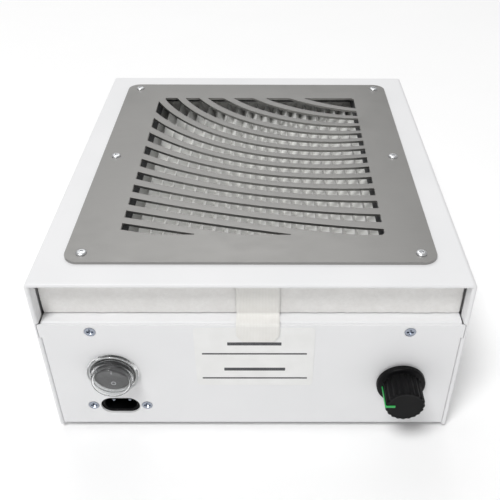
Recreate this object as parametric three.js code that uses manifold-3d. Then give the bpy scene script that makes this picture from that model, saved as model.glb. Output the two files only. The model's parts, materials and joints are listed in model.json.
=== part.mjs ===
// Desktop nail dust collector: a powder-coated steel box with a slotted steel grille on top, a slide-out
// pleated filter under it, a centrifugal fan below the filter, and its controls on the front panel.
// Millimetres, +Z up. The origin is on the floor under the middle of the object. The front faces -Y.
import * as THREE from 'three';
import { mergeVertices } from 'three/addons/utils/BufferGeometryUtils.js';
import Module from 'manifold-3d';

const wasm = await Module();
wasm.setup();

// ---- Driving sizes. x is measured from the middle, y from the front panel's face, z from the floor. ----
const bodyWidth = 208;
const bodyDepth = 236;
const bodyHeight = 96.5;           // tray floor's underside to the cover's top
const footHeight = 4;
const sheet = 1.2;                 // thickness of the steel sheets
const gap = 0.3;                   // play between neighbouring pieces
const bend = 2.4;                  // outer radius of the cover's two long bends
const hemDepth = 7;                // how far the cover's edges are folded back under themselves
const plateThickness = 1.5;
const screwSides = 12;             // facets round each screw

const trayBottom = footHeight;
const coverTop = trayBottom + bodyHeight;
const coverBottom = trayBottom - 1;
const half = bodyWidth / 2;
const insideHalf = half - sheet;
const trayHalf = half - 2 * sheet - gap;
const panelTop = 75.2;             // top edge of the front panel
const shelfTop = 75.5;             // the sheet that the filter slides on

const plate = { left: -89.8, right: 89.2, front: 15, back: 220.3, corner: 7.5 };
const intake = { half: 66.1, front: 37.4, back: 197.8, corner: 1.5 };
const coverMargin = 3;             // how much wider the cover's opening is than the grille's on every side
const grilleScrewX = 81.6;
const grilleScrewY = [22.1, 116.9, 213.1];

const filter = { half: 101.2, front: 8, bodyFront: 14.3, back: 226, bottom: 75.8, top: 88.9 };
const filterCore = { half: 88, front: 20.3, back: 220 };   // the opening in the frame that holds the pleats
const filterFaceTop = 96.9;
const pleat = { pitch: 6.8, count: 25, thickness: 0.7, bottom: 77.8, top: 88.7 };
const tab = { left: -7.3, right: 13.5, bottom: 65.3, chamferTop: 69.4, chamfer: 2.6, thickness: 0.6 };

const switchAt = [-70, 43];
const knobAt = [75.4, 37.2];
const socketAt = [-69.5, 18.1];
const fanAt = [0, 142];

// ---- Colours ----
const paint = (hex, roughness, metalness) => new THREE.MeshStandardMaterial({ color: hex, roughness, metalness });
const finishes = {
  whiteSteel: paint(0xf1f1ee, 0.5, 0.1),
  grilleSteel: paint(0xa3a4a6, 0.35, 0.9),
  zinc: paint(0xb9bbbe, 0.3, 0.95),
  galvanised: paint(0xa9adb0, 0.5, 0.8),
  blackPlastic: paint(0x1c1c1e, 0.4, 0),
  greyPlastic: paint(0x3a3b3e, 0.5, 0),
  clearPlastic: paint(0xdfe4e8, 0.15, 0),
  foam: paint(0x45474a, 0.95, 0),
  felt: paint(0xe4e1da, 0.95, 0),
  paper: paint(0xd8d8d6, 0.9, 0),
  tape: paint(0xece6d6, 0.85, 0),
  label: paint(0xf3f3f1, 0.6, 0),
  greenPaint: paint(0x4fb548, 0.5, 0),
  brass: paint(0xc9a95a, 0.35, 0.9),
  rubber: paint(0x222224, 0.9, 0),
  board: paint(0x2f6b3e, 0.6, 0),
  copper: paint(0xb5713a, 0.4, 0.8),
  redWire: paint(0xa5262b, 0.5, 0),
  blueWire: paint(0x2a4c9a, 0.5, 0),
};

// ---- Shape helpers ----
const object = new THREE.Group();
const holder = new THREE.Group();
object.add(holder);

/** Turns a closed geometry into a solid that can be cut and joined. */
function solid(geometry) {
  const bare = geometry.index ? geometry.toNonIndexed() : geometry.clone();
  bare.deleteAttribute('normal');
  bare.deleteAttribute('uv');
  const merged = mergeVertices(bare, 1e-4);
  const index = Array.from(merged.index.array);
  const kept = [];
  for (let i = 0; i < index.length; i += 3) {
    const [a, b, c] = index.slice(i, i + 3);
    if (a !== b && b !== c && a !== c) kept.push(a, b, c);
  }
  return new wasm.Manifold(new wasm.Mesh({
    numProp: 3,
    vertProperties: new Float32Array(merged.attributes.position.array),
    triVerts: new Uint32Array(kept),
  }));
}

/** Adds one solid or geometry to the object as a named piece. */
function piece(name, shape, material) {
  let geometry = shape;
  if (!shape.isBufferGeometry) {
    const mesh = shape.getMesh();
    geometry = new THREE.BufferGeometry();
    geometry.setAttribute('position', new THREE.BufferAttribute(new Float32Array(mesh.vertProperties), 3));
    geometry.setIndex(Array.from(mesh.triVerts));
    geometry.computeVertexNormals();
  }
  const mesh = new THREE.Mesh(geometry, material);
  mesh.name = name;
  holder.add(mesh);
  return mesh;
}

const join = (solids) => solids.reduce((sum, next) => sum.add(next));
const cut = (body, tools) => tools.reduce((rest, tool) => rest.subtract(tool), body);

/** A block between two values on each axis. */
function block([x0, x1], [y0, y1], [z0, z1]) {
  const geometry = new THREE.BoxGeometry(x1 - x0, y1 - y0, z1 - z0);
  return solid(geometry.translate((x0 + x1) / 2, (y0 + y1) / 2, (z0 + z1) / 2));
}

/** An outline drawn in x and y, standing from z0 to z1. */
function slab(outline, z0, z1, curveSegments = 6) {
  const geometry = new THREE.ExtrudeGeometry(outline, { depth: z1 - z0, bevelEnabled: false, curveSegments });
  return solid(geometry.translate(0, 0, z0));
}

/** An outline drawn in x and z, running from y0 to y1. */
function panel(outline, y0, y1, curveSegments = 6) {
  const geometry = new THREE.ExtrudeGeometry(outline, { depth: y1 - y0, bevelEnabled: false, curveSegments });
  return solid(geometry.rotateX(Math.PI / 2).translate(0, y1, 0));
}

/** An outline drawn in y and z, running from x0 to x1. */
function across(outline, x0, x1, curveSegments = 6) {
  const geometry = new THREE.ExtrudeGeometry(outline, { depth: x1 - x0, bevelEnabled: false, curveSegments });
  const turn = new THREE.Matrix4().set(0, 0, 1, x0, 1, 0, 0, 0, 0, 1, 0, 0, 0, 0, 0, 1);
  return solid(geometry.applyMatrix4(turn));
}

/** A profile of [radius, height] points turned about a vertical axis through x, y. */
function turnedUp(profile, x, y, segments = 24) {
  const points = profile.map(([r, h]) => new THREE.Vector2(r, h));
  return solid(new THREE.LatheGeometry(points, segments).rotateX(Math.PI / 2).translate(x, y, 0));
}

/** A profile of [radius, y] points turned about an axis along Y through x, z. */
function turnedBack(profile, [x, z], segments = 24) {
  const points = profile.map(([r, y]) => new THREE.Vector2(r, y));
  return solid(new THREE.LatheGeometry(points, segments).translate(x, 0, z));
}

/** A closed outline through points. */
function outlineOf(points) {
  return new THREE.Shape(points.map(([a, b]) => new THREE.Vector2(a, b)));
}

/** A rectangle with round corners. */
function roundedRectangle(x0, x1, y0, y1, r) {
  const shape = new THREE.Shape();
  shape.moveTo(x0 + r, y0);
  shape.lineTo(x1 - r, y0);
  shape.absarc(x1 - r, y0 + r, r, -Math.PI / 2, 0);
  shape.lineTo(x1, y1 - r);
  shape.absarc(x1 - r, y1 - r, r, 0, Math.PI / 2);
  shape.lineTo(x0 + r, y1);
  shape.absarc(x0 + r, y1 - r, r, Math.PI / 2, Math.PI);
  shape.lineTo(x0, y0 + r);
  shape.absarc(x0 + r, y0 + r, r, Math.PI, 1.5 * Math.PI);
  return shape;
}

/** A slot with round ends, centred on a, b. */
function stadium(a, b, width, height) {
  const r = Math.min(width, height) / 2 - 0.001;
  return roundedRectangle(a - width / 2, a + width / 2, b - height / 2, b + height / 2, r);
}

const rod = (r, from, to) => [[0, from], [r, from], [r, to], [0, to]];
const holeBack = (r, [x, z], y0, y1, sides = 12) => turnedBack(rod(r, y0, y1), [x, z], sides);
const holeUp = (r, x, y, z0, z1) => turnedUp(rod(r, z0, z1), x, y, 10);

// ---- Casing ----

/** The folded outline of the cover, with its outer faces moved in by `inset`. */
function coverOutline(inset, thickness) {
  const outer = half - inset;
  const inner = outer - thickness;
  const top = coverTop - inset;
  const outerBend = Math.max(bend - inset, 0.4);
  const innerBend = Math.max(outerBend - thickness, 0.3);
  const shape = new THREE.Shape();
  shape.moveTo(outer, coverBottom);
  shape.lineTo(outer, top - outerBend);
  shape.absarc(outer - outerBend, top - outerBend, outerBend, 0, Math.PI / 2);
  shape.lineTo(-outer + outerBend, top);
  shape.absarc(-outer + outerBend, top - outerBend, outerBend, Math.PI / 2, Math.PI);
  shape.lineTo(-outer, coverBottom);
  shape.lineTo(-inner, coverBottom);
  shape.lineTo(-inner, top - thickness - innerBend);
  shape.absarc(-inner + innerBend, top - thickness - innerBend, innerBend, Math.PI, Math.PI / 2, true);
  shape.lineTo(inner - innerBend, top - thickness);
  shape.absarc(inner - innerBend, top - thickness - innerBend, innerBend, Math.PI / 2, 0, true);
  shape.lineTo(inner, coverBottom);
  return shape;
}

const sideScrewY = [42, 194];
const sideScrewZ = 13;
const notch = [67, 75.9];          // heights where the front hem is cut away for the panel's ears

function makeCover() {
  const skin = panel(coverOutline(0, sheet), 0, bodyDepth, 4);
  const hems = [[0, hemDepth], [bodyDepth - hemDepth, bodyDepth]];
  const folded = join([skin, ...hems.map(([y0, y1]) => panel(coverOutline(0, 2 * sheet), y0, y1, 4))]);
  const tools = [slab(roundedRectangle(-intake.half - coverMargin, intake.half + coverMargin,
    intake.front - coverMargin, intake.back + coverMargin, intake.corner), coverTop - 5, coverTop + 5, 2)];
  for (const side of [-1, 1]) {
    const edge = [side * (trayHalf - 1), side * insideHalf].sort((a, b) => a - b);
    tools.push(block(edge, [-1, hemDepth + 1], notch));
    for (const y of grilleScrewY) tools.push(holeUp(1.9, side * grilleScrewX, y, coverTop - 5, coverTop + 5));
    for (const y of sideScrewY) {
      const hole = new THREE.CylinderGeometry(1.9, 1.9, 8, 10).rotateZ(Math.PI / 2);
      tools.push(solid(hole.translate(side * half, y, sideScrewZ)));
    }
  }
  return cut(folded, tools);
}

/**
 * Height of the grille's edge line number k, at a distance from the window's right side. Each line is an arc of a
 * circle: `tilt` is the sine of its angle at the right side, and it grows by `curvature` with every millimetre.
 */
function edgeLine(k, distance) {
  const v = (k - 7) / 7;
  const start = 105.1 - 79.1 * v - 14.2 * v * v - 1.5 * v ** 3 + 6.6 * v ** 4;
  const tilt = -0.159 + 0.229 * v + 0.357 * v * v - 0.23 * v ** 3;
  const curvature = (6.48 - 6.77 * v - 1.61 * v * v + 2.31 * v ** 3) / 1000;
  const turned = Math.min(tilt + curvature * distance, 0.98);
  return start + (Math.sqrt(1 - tilt * tilt) - Math.sqrt(1 - turned * turned)) / curvature;
}

const slotShare = (k) => 0.66 - 0.01 * k;   // how much of the pitch is open
const firstSlot = -1;
const lastSlot = 14;
const edgeSteps = 11;

function makeGrille() {
  const window = slab(roundedRectangle(-intake.half, intake.half, intake.front, intake.back, intake.corner),
    coverTop - 1, coverTop + plateThickness + 1, 3);
  const clip = (y) => THREE.MathUtils.clamp(y, intake.front - 5, intake.back + 5);
  const slots = [];
  for (let k = firstSlot; k <= lastSlot; k += 1) {
    const upper = [];
    const lower = [];
    for (let i = 0; i <= edgeSteps; i += 1) {
      const distance = (i / edgeSteps) * (2 * intake.half + 1) - 0.5;
      const x = intake.half - distance;
      const top = k === firstSlot ? intake.back + 5 : clip(edgeLine(k, distance));
      const bottom = clip(edgeLine(k + slotShare(k), distance));
      if (top - bottom < 0.3) continue;
      upper.push([x, top]);
      lower.push([x, bottom]);
    }
    const outline = outlineOf([...upper, ...lower.reverse()]);
    slots.push(slab(outline, coverTop - 1, coverTop + plateThickness + 1));
  }
  const sheetBody = slab(roundedRectangle(plate.left, plate.right, plate.front, plate.back, plate.corner),
    coverTop, coverTop + plateThickness, 6);
  const holes = [];
  for (const side of [-1, 1]) {
    for (const y of grilleScrewY) holes.push(holeUp(1.9, side * grilleScrewX, y, coverTop - 1, coverTop + 3));
  }
  return cut(sheetBody, [...slots.map((slot) => slot.intersect(window)), ...holes]);
}

const frontScrews = [[-77.7, 70.9], [76.5, 70.9]];
const backScrews = [[-77.7, 70.9], [77.7, 70.9]];
const socketScrews = [[socketAt[0] - 14, 18.2], [socketAt[0] + 14, 18.2]];
const exhaust = { count: 13, pitch: 10, width: 4, bottom: 14, top: 54 };

function makeTray() {
  const earHalf = insideHalf - gap;
  const face = outlineOf([
    [-trayHalf, trayBottom], [trayHalf, trayBottom], [trayHalf, notch[0] + gap], [earHalf, notch[0] + gap],
    [earHalf, panelTop], [-earHalf, panelTop], [-earHalf, notch[0] + gap], [-trayHalf, notch[0] + gap]]);
  const flangeHeight = 20;
  const body = join([
    block([-trayHalf, trayHalf], [0, bodyDepth], [trayBottom, trayBottom + sheet]),
    panel(face, 0, sheet),
    block([-trayHalf, trayHalf], [bodyDepth - sheet, bodyDepth], [trayBottom, coverTop - 2 * sheet - gap]),
    block([-trayHalf, -trayHalf + sheet], [0, bodyDepth], [trayBottom, trayBottom + flangeHeight]),
    block([trayHalf - sheet, trayHalf], [0, bodyDepth], [trayBottom, trayBottom + flangeHeight])]);
  const tools = [
    holeBack(10.6, switchAt, -2, 3, 20),
    holeBack(3.8, knobAt, -2, 3),
    panel(stadium(socketAt[0], socketAt[1], 20.4, 11.6), -2, 3, 4),
  ];
  const sunk = [[0, -0.1], [3, -0.1], [1.8, 1.1], [1.8, 2], [0, 2]];
  for (const at of [...frontScrews, ...socketScrews]) tools.push(turnedBack(sunk, at, screwSides));
  for (const at of backScrews) tools.push(holeBack(1.9, at, bodyDepth - 3, bodyDepth + 2));
  for (let i = 0; i < exhaust.count; i += 1) {
    const x = (i - (exhaust.count - 1) / 2) * exhaust.pitch;
    const slot = stadium(x, (exhaust.bottom + exhaust.top) / 2, exhaust.width, exhaust.top - exhaust.bottom);
    tools.push(panel(slot, bodyDepth - 3, bodyDepth + 2, 2));
  }
  for (const side of [-1, 1]) {
    for (const y of sideScrewY) {
      const hole = new THREE.CylinderGeometry(1.7, 1.7, 8, 8).rotateZ(Math.PI / 2);
      tools.push(solid(hole.translate(side * trayHalf, y, sideScrewZ)));
    }
  }
  return cut(body, tools);
}

const shelf = { half: 101.2, front: 1.6, back: bodyDepth - 1.6, bottom: 60, inletRadius: 56 };

function makeShelf() {
  const flange = [shelf.bottom, shelfTop];
  const body = join([
    block([-shelf.half, shelf.half], [shelf.front, shelf.back], [shelfTop - sheet, shelfTop]),
    block([-shelf.half, shelf.half], [shelf.front, shelf.front + sheet], flange),
    block([-shelf.half, shelf.half], [shelf.back - sheet, shelf.back], flange)]);
  const tools = [turnedUp(rod(shelf.inletRadius, shelfTop - 5, shelfTop + 5), ...fanAt, 32)];
  for (const at of frontScrews) tools.push(holeBack(1.9, at, 0, 5));
  for (const at of backScrews) tools.push(holeBack(1.9, at, bodyDepth - 5, bodyDepth));
  return cut(body, tools);
}

piece('top_cover', makeCover(), finishes.whiteSteel);
piece('grille_plate', makeGrille(), finishes.grilleSteel);
piece('base_tray', makeTray(), finishes.whiteSteel);
piece('filter_shelf', makeShelf(), finishes.whiteSteel);

// ---- Fasteners and feet ----

/** A domed screw head over a shank, as a profile from the head's top (0) into the work. */
const domedScrew = (length, rise = 1.6) => [[0, -rise], [1.8, 0.25 - rise], [2.7, -0.02], [1.5, -0.02], [1.5, length],
  [0, length]];
const sunkScrew = (length) => [[0, 0], [2.75, 0], [1.5, 1.1], [1.5, length], [0, length]];

/** Turns a screw profile whose depth axis points up into a piece that is driven along -Z. */
function screwDown(name, x, y, z, profile) {
  const flipped = profile.map(([r, depth]) => [r, z - depth]).reverse();
  piece(name, turnedUp(flipped, x, y, screwSides), finishes.zinc);
}

let grilleScrew = 1;
for (const y of grilleScrewY) {
  for (const side of [-1, 1]) {
    screwDown(`grille_screw_${grilleScrew}`, side * grilleScrewX, y, coverTop + plateThickness, domedScrew(6, 1.1));
    grilleScrew += 1;
  }
}
['left', 'right'].forEach((side, i) => {
  piece(`front_panel_screw_${side}`, turnedBack(sunkScrew(6), frontScrews[i], screwSides), finishes.zinc);
  piece(`socket_screw_${side}`, turnedBack(sunkScrew(7), socketScrews[i], screwSides), finishes.zinc);
  const backProfile = domedScrew(6).map(([r, depth]) => [r, bodyDepth - depth]).reverse();
  piece(`back_panel_screw_${side}`, turnedBack(backProfile, backScrews[i], screwSides), finishes.zinc);
});
for (const [side, sign] of [['left', -1], ['right', 1]]) {
  [['front', sideScrewY[0]], ['back', sideScrewY[1]]].forEach(([end, y]) => {
    const points = domedScrew(5).map(([r, depth]) => new THREE.Vector2(r, depth));
    const screw = new THREE.LatheGeometry(points, screwSides).rotateZ(sign * Math.PI / 2);
    piece(`side_screw_${side}_${end}`, solid(screw.translate(sign * half, y, sideScrewZ)), finishes.zinc);
  });
}

const foot = { radius: 8, inset: 17 };
for (const [side, sign] of [['left', -1], ['right', 1]]) {
  for (const [end, y] of [['front', foot.inset], ['back', bodyDepth - foot.inset]]) {
    const profile = [[0, 0], [foot.radius - 1, 0], [foot.radius, 1], [foot.radius, footHeight], [0, footHeight]];
    piece(`foot_${side}_${end}`, turnedUp(profile, sign * (half - foot.inset), y, 16), finishes.rubber);
  }
}

const ratingLabel = { left: -28.1, right: 30.7, bottom: 34.2, top: 73.9 };
piece('rating_label', panel(roundedRectangle(ratingLabel.left, ratingLabel.right, ratingLabel.bottom,
  ratingLabel.top, 2), -0.2, 0, 4), finishes.label);

// ---- Filter cartridge ----
// The foam's front and back bars lie on the filter's frame, and its side bars beside the intake.
const seal = { half: 78, front: 14.6, back: 226, bar: 6 };
piece('filter_seal', cut(
  block([-seal.half, seal.half], [seal.front, seal.back], [filter.top + gap, coverTop - sheet]),
  [block([-intake.half - gap, intake.half + gap], [seal.front + seal.bar, seal.back - seal.bar], [80, 110])],
), finishes.foam);

piece('filter_frame', cut(
  block([-filter.half, filter.half], [filter.bodyFront, filter.back], [filter.bottom, filter.top]),
  [block([-filterCore.half, filterCore.half], [filterCore.front, filterCore.back], [70, 100])],
), finishes.felt);

/** The pleated paper: a zigzag of constant thickness, seen along the folds. */
function makePleats() {
  const upper = [];
  const lower = [];
  const rise = pleat.thickness * 2.6;   // vertical thickness of a steep fold
  const start = -(pleat.count * pleat.pitch) / 2;
  for (let i = 0; i <= 2 * pleat.count; i += 1) {
    const x = start + (i * pleat.pitch) / 2;
    const ridge = i % 2 === 1;
    upper.push([x, ridge ? pleat.top : pleat.bottom + rise]);
    lower.push([x, ridge ? pleat.top - rise : pleat.bottom]);
  }
  return panel(outlineOf([...upper.reverse(), ...lower]), filterCore.front + gap, filterCore.back - gap);
}
piece('filter_pleats', makePleats(), finishes.paper);
piece('filter_face', block([-filter.half, filter.half], [filter.front, filter.bodyFront - gap],
  [filter.bottom, filterFaceTop]), finishes.felt);

/** The pull tab: a strip down the filter's face, out over the ledge and down the front panel. */
function makeTab() {
  const t = tab.thickness;
  const inner = filter.front - gap;
  const side = [[inner, filterFaceTop - 1], [inner - t, filterFaceTop - 1], [inner - t, filter.bottom + t],
    [-gap - t, filter.bottom + t], [-gap - t, tab.bottom], [-gap, tab.bottom], [-gap, filter.bottom],
    [inner, filter.bottom]];
  const strip = across(outlineOf(side), tab.left, tab.right);
  const cornered = outlineOf([[tab.left, 110], [tab.left, tab.chamferTop], [tab.left + tab.chamfer, tab.bottom],
    [tab.right - tab.chamfer, tab.bottom], [tab.right, tab.chamferTop], [tab.right, 110]]);
  return strip.intersect(panel(cornered, -5, 20));
}
piece('pull_tab', makeTab(), finishes.tape);

// ---- Power switch under its clear splash cap ----
const rocker = { radius: 8.4, pivotY: -1, tilt: 8, front: -2.7, back: 3.4 };
const well = 9;                    // inner radius of the round opening that the rocker sits in

piece('switch_housing', cut(join([
  turnedBack(rod(11.5, -1.3, 0), switchAt, 24),
  turnedBack(rod(10.2, -0.5, 21), switchAt, 24),
]), [turnedBack(rod(well, -2, 8), switchAt, 24),
  ...[-4, 4].map((dx) => block([switchAt[0] + dx - 2.8, switchAt[0] + dx + 2.8], [5, 30],
    [switchAt[1] - 0.8, switchAt[1] + 0.8]))]), finishes.blackPlastic);

/** The rocker: a round button with two faces that meet at a shallow angle, tilted to its off position. */
function makeRocker() {
  const rise = rocker.radius * Math.tan(THREE.MathUtils.degToRad(rocker.tilt));
  const side = outlineOf([[rocker.front, 0], [rocker.front - rise, -rocker.radius], [rocker.back - 2, -rocker.radius],
    [rocker.back, -3], [rocker.back, 3], [rocker.back - 2, rocker.radius], [rocker.front - rise, rocker.radius]]);
  const body = across(side, -rocker.radius, rocker.radius);
  const round = turnedBack(rod(rocker.radius, -6, 5), [0, 0], 24);
  const shifted = body.intersect(round).translate([0, -rocker.pivotY, 0]);
  return shifted.rotate([rocker.tilt, 0, 0]).translate([switchAt[0], rocker.pivotY, switchAt[1]]);
}
piece('switch_rocker', makeRocker(), finishes.greyPlastic);

const cap = { flange: 13, flangeDepth: 1.9, step: 10.7, stepDepth: 4, dome: 9.9, domeDepth: 8 };
piece('switch_cap', turnedBack([
  [0, -cap.domeDepth], [cap.dome - 1, -cap.domeDepth], [cap.dome, -cap.domeDepth + 1],
  [cap.dome, -cap.stepDepth], [cap.step, -cap.stepDepth], [cap.step, -cap.flangeDepth],
  [cap.flange, -cap.flangeDepth], [cap.flange, -gap], [11.8, -gap], [11.8, -1.5], [9.9, -1.5], [9.1, -3.9],
  [9.1, -cap.domeDepth + 0.8], [0, -cap.domeDepth + 0.8],
], switchAt, 24), finishes.clearPlastic);

const terminalX = [switchAt[0] - 4, switchAt[0] + 4];
['left', 'right'].forEach((side, i) => {
  piece(`switch_terminal_${side}`, block([terminalX[i] - 2.4, terminalX[i] + 2.4], [8.5, 29],
    [switchAt[1] - 0.4, switchAt[1] + 0.4]), finishes.brass);
});

// ---- Mains inlet: a two-pin figure-8 socket behind a slot in the panel ----
const pinSpread = 8.6;
const socketMouth = 8.4;
function makeSocket() {
  const [x, z] = socketAt;
  const body = join([
    panel(stadium(x, z, 19.8, 11), 1.3, 24, 4),
    panel(roundedRectangle(x - 18.5, x + 18.5, z - 7.5, z + 7.5, 3), 1.5, 4, 2)]);
  const tools = [panel(stadium(x, z, pinSpread + socketMouth, socketMouth), -1, 16, 4)];
  for (const side of [-1, 1]) tools.push(holeBack(1.5, [x + (side * pinSpread) / 2, z], 10, 30));
  for (const at of socketScrews) tools.push(holeBack(1.9, at, 0, 6));
  return cut(body, tools);
}
piece('socket_body', makeSocket(), finishes.blackPlastic);
['left', 'right'].forEach((side, i) => {
  const x = socketAt[0] + (i - 0.5) * pinSpread;
  piece(`socket_pin_${side}`, turnedBack([[0, 3.4], [0.7, 3.4], [1.15, 4.2], [1.15, 28], [0, 28]],
    [x, socketAt[1]], 10), finishes.zinc);
});

// ---- Speed control: knob, its pointer line, shaft, control and nut ----
const knob = { skirt: 12.3, skirtTop: 11.7, skirtFrom: -1, skirtTo: -4, grip: 9.85, face: -17.1, flutes: 20 };
const pointer = { width: 1.4, length: 5, depth: 1.1 };

function makeKnob() {
  const points = [];
  const perFlute = 3;
  for (let i = 0; i < knob.flutes * perFlute; i += 1) {
    const angle = (i / (knob.flutes * perFlute)) * 2 * Math.PI;
    const r = knob.grip - 0.3 + 0.3 * Math.cos(knob.flutes * angle);
    points.push([knobAt[0] + r * Math.cos(angle), knobAt[1] + r * Math.sin(angle)]);
  }
  const grip = panel(outlineOf(points), knob.face, knob.skirtTo);
  const skirt = turnedBack([[0, knob.skirtTo], [knob.skirtTop, knob.skirtTo], [knob.skirt, knob.skirtTo + 0.8],
    [knob.skirt, knob.skirtFrom], [0, knob.skirtFrom]], knobAt, 32);
  const groove = (pointer.width + gap) / 2;
  const z = [knobAt[1] - groove, knobAt[1] + groove];
  return cut(grip.add(skirt), [
    turnedBack(rod(7.6, -6, 1), knobAt, 24),
    turnedBack(rod(3.3, -14.5, 1), knobAt, 16),
    block([knobAt[0] - 20, knobAt[0] - knob.grip + pointer.depth], [knob.face - 1, knob.skirtTo], z),
    block([knobAt[0] - 20, knobAt[0] - knob.grip + pointer.length], [knob.face - 1, knob.face + 0.6], z),
  ]);
}
piece('speed_knob', makeKnob(), finishes.blackPlastic);

function makePointer() {
  const left = knobAt[0] - knob.grip - 0.1;
  const z = [knobAt[1] - pointer.width / 2, knobAt[1] + pointer.width / 2];
  return join([
    block([left, left + pointer.depth], [knob.face - 0.1, knob.skirtTo - gap], z),
    block([left, left + pointer.length], [knob.face - 0.1, knob.face + 0.5], z)]);
}
piece('knob_pointer', makePointer(), finishes.greenPaint);
piece('knob_shaft', turnedBack(rod(3, -14.2, 5.6), knobAt, 16), finishes.zinc);
piece('speed_control', cut(join([
  turnedBack(rod(8.5, 2, 13), knobAt, 24),
  turnedBack(rod(3.6, -5.6, 3), knobAt, 16)]), [turnedBack(rod(3.2, -6, 6), knobAt, 16)]), finishes.galvanised);
const nutRadius = 5.8;
piece('control_nut', cut(turnedBack(rod(nutRadius, -2.4, -gap), knobAt, 6), [holeBack(3.9, knobAt, -3, 0)]),
  finishes.zinc);

// ---- Speed control board ----
const board = { left: -24, right: 46, front: 14, back: 62, bottom: 12, thickness: 1.6 };
const boardTop = board.bottom + board.thickness;
piece('circuit_board', block([board.left, board.right], [board.front, board.back], [board.bottom, boardTop]),
  finishes.board);
for (const [side, x] of [['left', board.left + 1], ['right', board.right - 6]]) {
  piece(`board_rail_${side}`, block([x, x + 5], [board.front, board.back], [trayBottom + sheet, board.bottom - 0.1]),
    finishes.greyPlastic);
}
piece('suppression_capacitor', slab(roundedRectangle(-18, 0, 44, 54, 1), boardTop + 0.1, boardTop + 15, 2),
  finishes.copper);

/** The choke: a wound ring that stands on its edge. */
function makeChoke() {
  const section = [];
  const turns = 8;
  for (let i = 0; i <= turns; i += 1) {
    const angle = (i / turns) * 2 * Math.PI;
    section.push([7 + 3 * Math.cos(angle), 3 * Math.sin(angle)]);
  }
  return turnedBack(section.map(([r, y]) => [r, 50 + y]), [16, boardTop + 10.3], 16);
}
piece('choke_coil', makeChoke(), finishes.copper);

function makeHeatSink() {
  const base = block([30, 43], [44, 47], [boardTop + 0.1, boardTop + 26]);
  const fins = [];
  for (let i = 0; i < 4; i += 1) fins.push(block([30 + i * 3.8, 31.6 + i * 3.8], [46.5, 58], [boardTop + 0.1, boardTop + 26]));
  return join([base, ...fins]);
}
piece('heat_sink', makeHeatSink(), finishes.zinc);
const terminals = { left: -20, right: 8, front: 17, back: 27 };
piece('terminal_block', block([terminals.left, terminals.right], [terminals.front, terminals.back],
  [boardTop + 0.1, boardTop + 9]), finishes.greyPlastic);

// ---- Fan: an inlet ring in the shelf, an impeller and an outer-rotor motor on the tray's floor ----
const throat = { radius: 47, top: 73.9, bottom: 62 };
piece('inlet_ring', turnedUp([
  [throat.radius + 1.2, throat.bottom], [throat.radius + 1.5, 66], [throat.radius + 4, 70.5], [shelf.inletRadius, 72.7],
  [62, 72.7], [62, throat.top], [shelf.inletRadius - 1, throat.top], [throat.radius + 2.5, 71],
  [throat.radius, 66], [throat.radius, throat.bottom], [throat.radius + 1.2, throat.bottom],
], ...fanAt, 24), finishes.blackPlastic);

const impeller = { radius: 60, bottom: 13, shroudInner: 49.5, shroudTop: 64, shroudEdge: 58, blades: 8, hub: 38.6 };
const rotor = { radius: 36, top: 37, bottom: 14 };

/** One backward-swept blade, an arc of constant thickness between the hub and the rim. */
function bladeOutline() {
  const outer = [];
  const inner = [];
  const steps = 4;
  for (let i = 0; i <= steps; i += 1) {
    const share = i / steps;
    const r = impeller.hub + 3 + share * (impeller.radius - impeller.hub - 3.5);
    const angle = -0.75 * share;
    const t = 0.9 / r;
    outer.push([r * Math.cos(angle + t), r * Math.sin(angle + t)]);
    inner.push([r * Math.cos(angle - t), r * Math.sin(angle - t)]);
  }
  return outlineOf([...inner, ...outer.reverse()]);
}

function makeImpeller() {
  const hub = turnedUp([[rotor.radius + 0.6, impeller.bottom], [impeller.radius, impeller.bottom],
    [impeller.radius, impeller.bottom + 2], [impeller.hub, impeller.bottom + 2], [impeller.hub, rotor.top + 3],
    [0, rotor.top + 3], [0, rotor.top + 0.6], [rotor.radius + 0.6, rotor.top + 0.6],
    [rotor.radius + 0.6, impeller.bottom]], ...fanAt, 24);
  const shroud = turnedUp([[impeller.shroudInner, impeller.shroudTop - 1.6],
    [impeller.radius, impeller.shroudEdge - 1.6], [impeller.radius, impeller.shroudEdge],
    [impeller.shroudInner, impeller.shroudTop], [impeller.shroudInner, impeller.shroudTop - 1.6]], ...fanAt, 24);
  const cone = turnedUp([[0, 0], [impeller.radius + 5, 0],
    [impeller.radius + 5, impeller.shroudEdge - 3.4], [impeller.shroudInner, impeller.shroudTop - 1],
    [impeller.shroudInner, throat.bottom - 1.5], [0, throat.bottom - 1.5]], ...fanAt, 24);
  const blades = [];
  for (let i = 0; i < impeller.blades; i += 1) {
    const outline = bladeOutline();
    const blade = slab(outline, impeller.bottom + 1, impeller.shroudTop);
    blades.push(blade.rotate([0, 0, (360 * i) / impeller.blades]).translate([...fanAt, 0]).intersect(cone));
  }
  return join([hub, shroud, ...blades]);
}
piece('impeller', makeImpeller(), finishes.blackPlastic);

piece('motor_rotor', turnedUp([[0, 10], [2.5, 10], [2.5, rotor.top - 2.5], [rotor.radius - 2.5, rotor.top - 2.5],
  [rotor.radius - 2.5, rotor.bottom], [rotor.radius, rotor.bottom], [rotor.radius, rotor.top - 1],
  [rotor.radius - 1, rotor.top], [0, rotor.top]], ...fanAt, 24), finishes.galvanised);
piece('motor_stator', turnedUp([[2.8, 7.6], [20, 7.6], [20, 12], [31.5, 13], [31.5, 32], [8, 33.5], [2.8, 33.5],
  [2.8, 7.6]], ...fanAt, 24), finishes.copper);
piece('motor_plate', turnedUp(rod(44, trayBottom + sheet, 7.4), ...fanAt, 28), finishes.galvanised);

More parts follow.
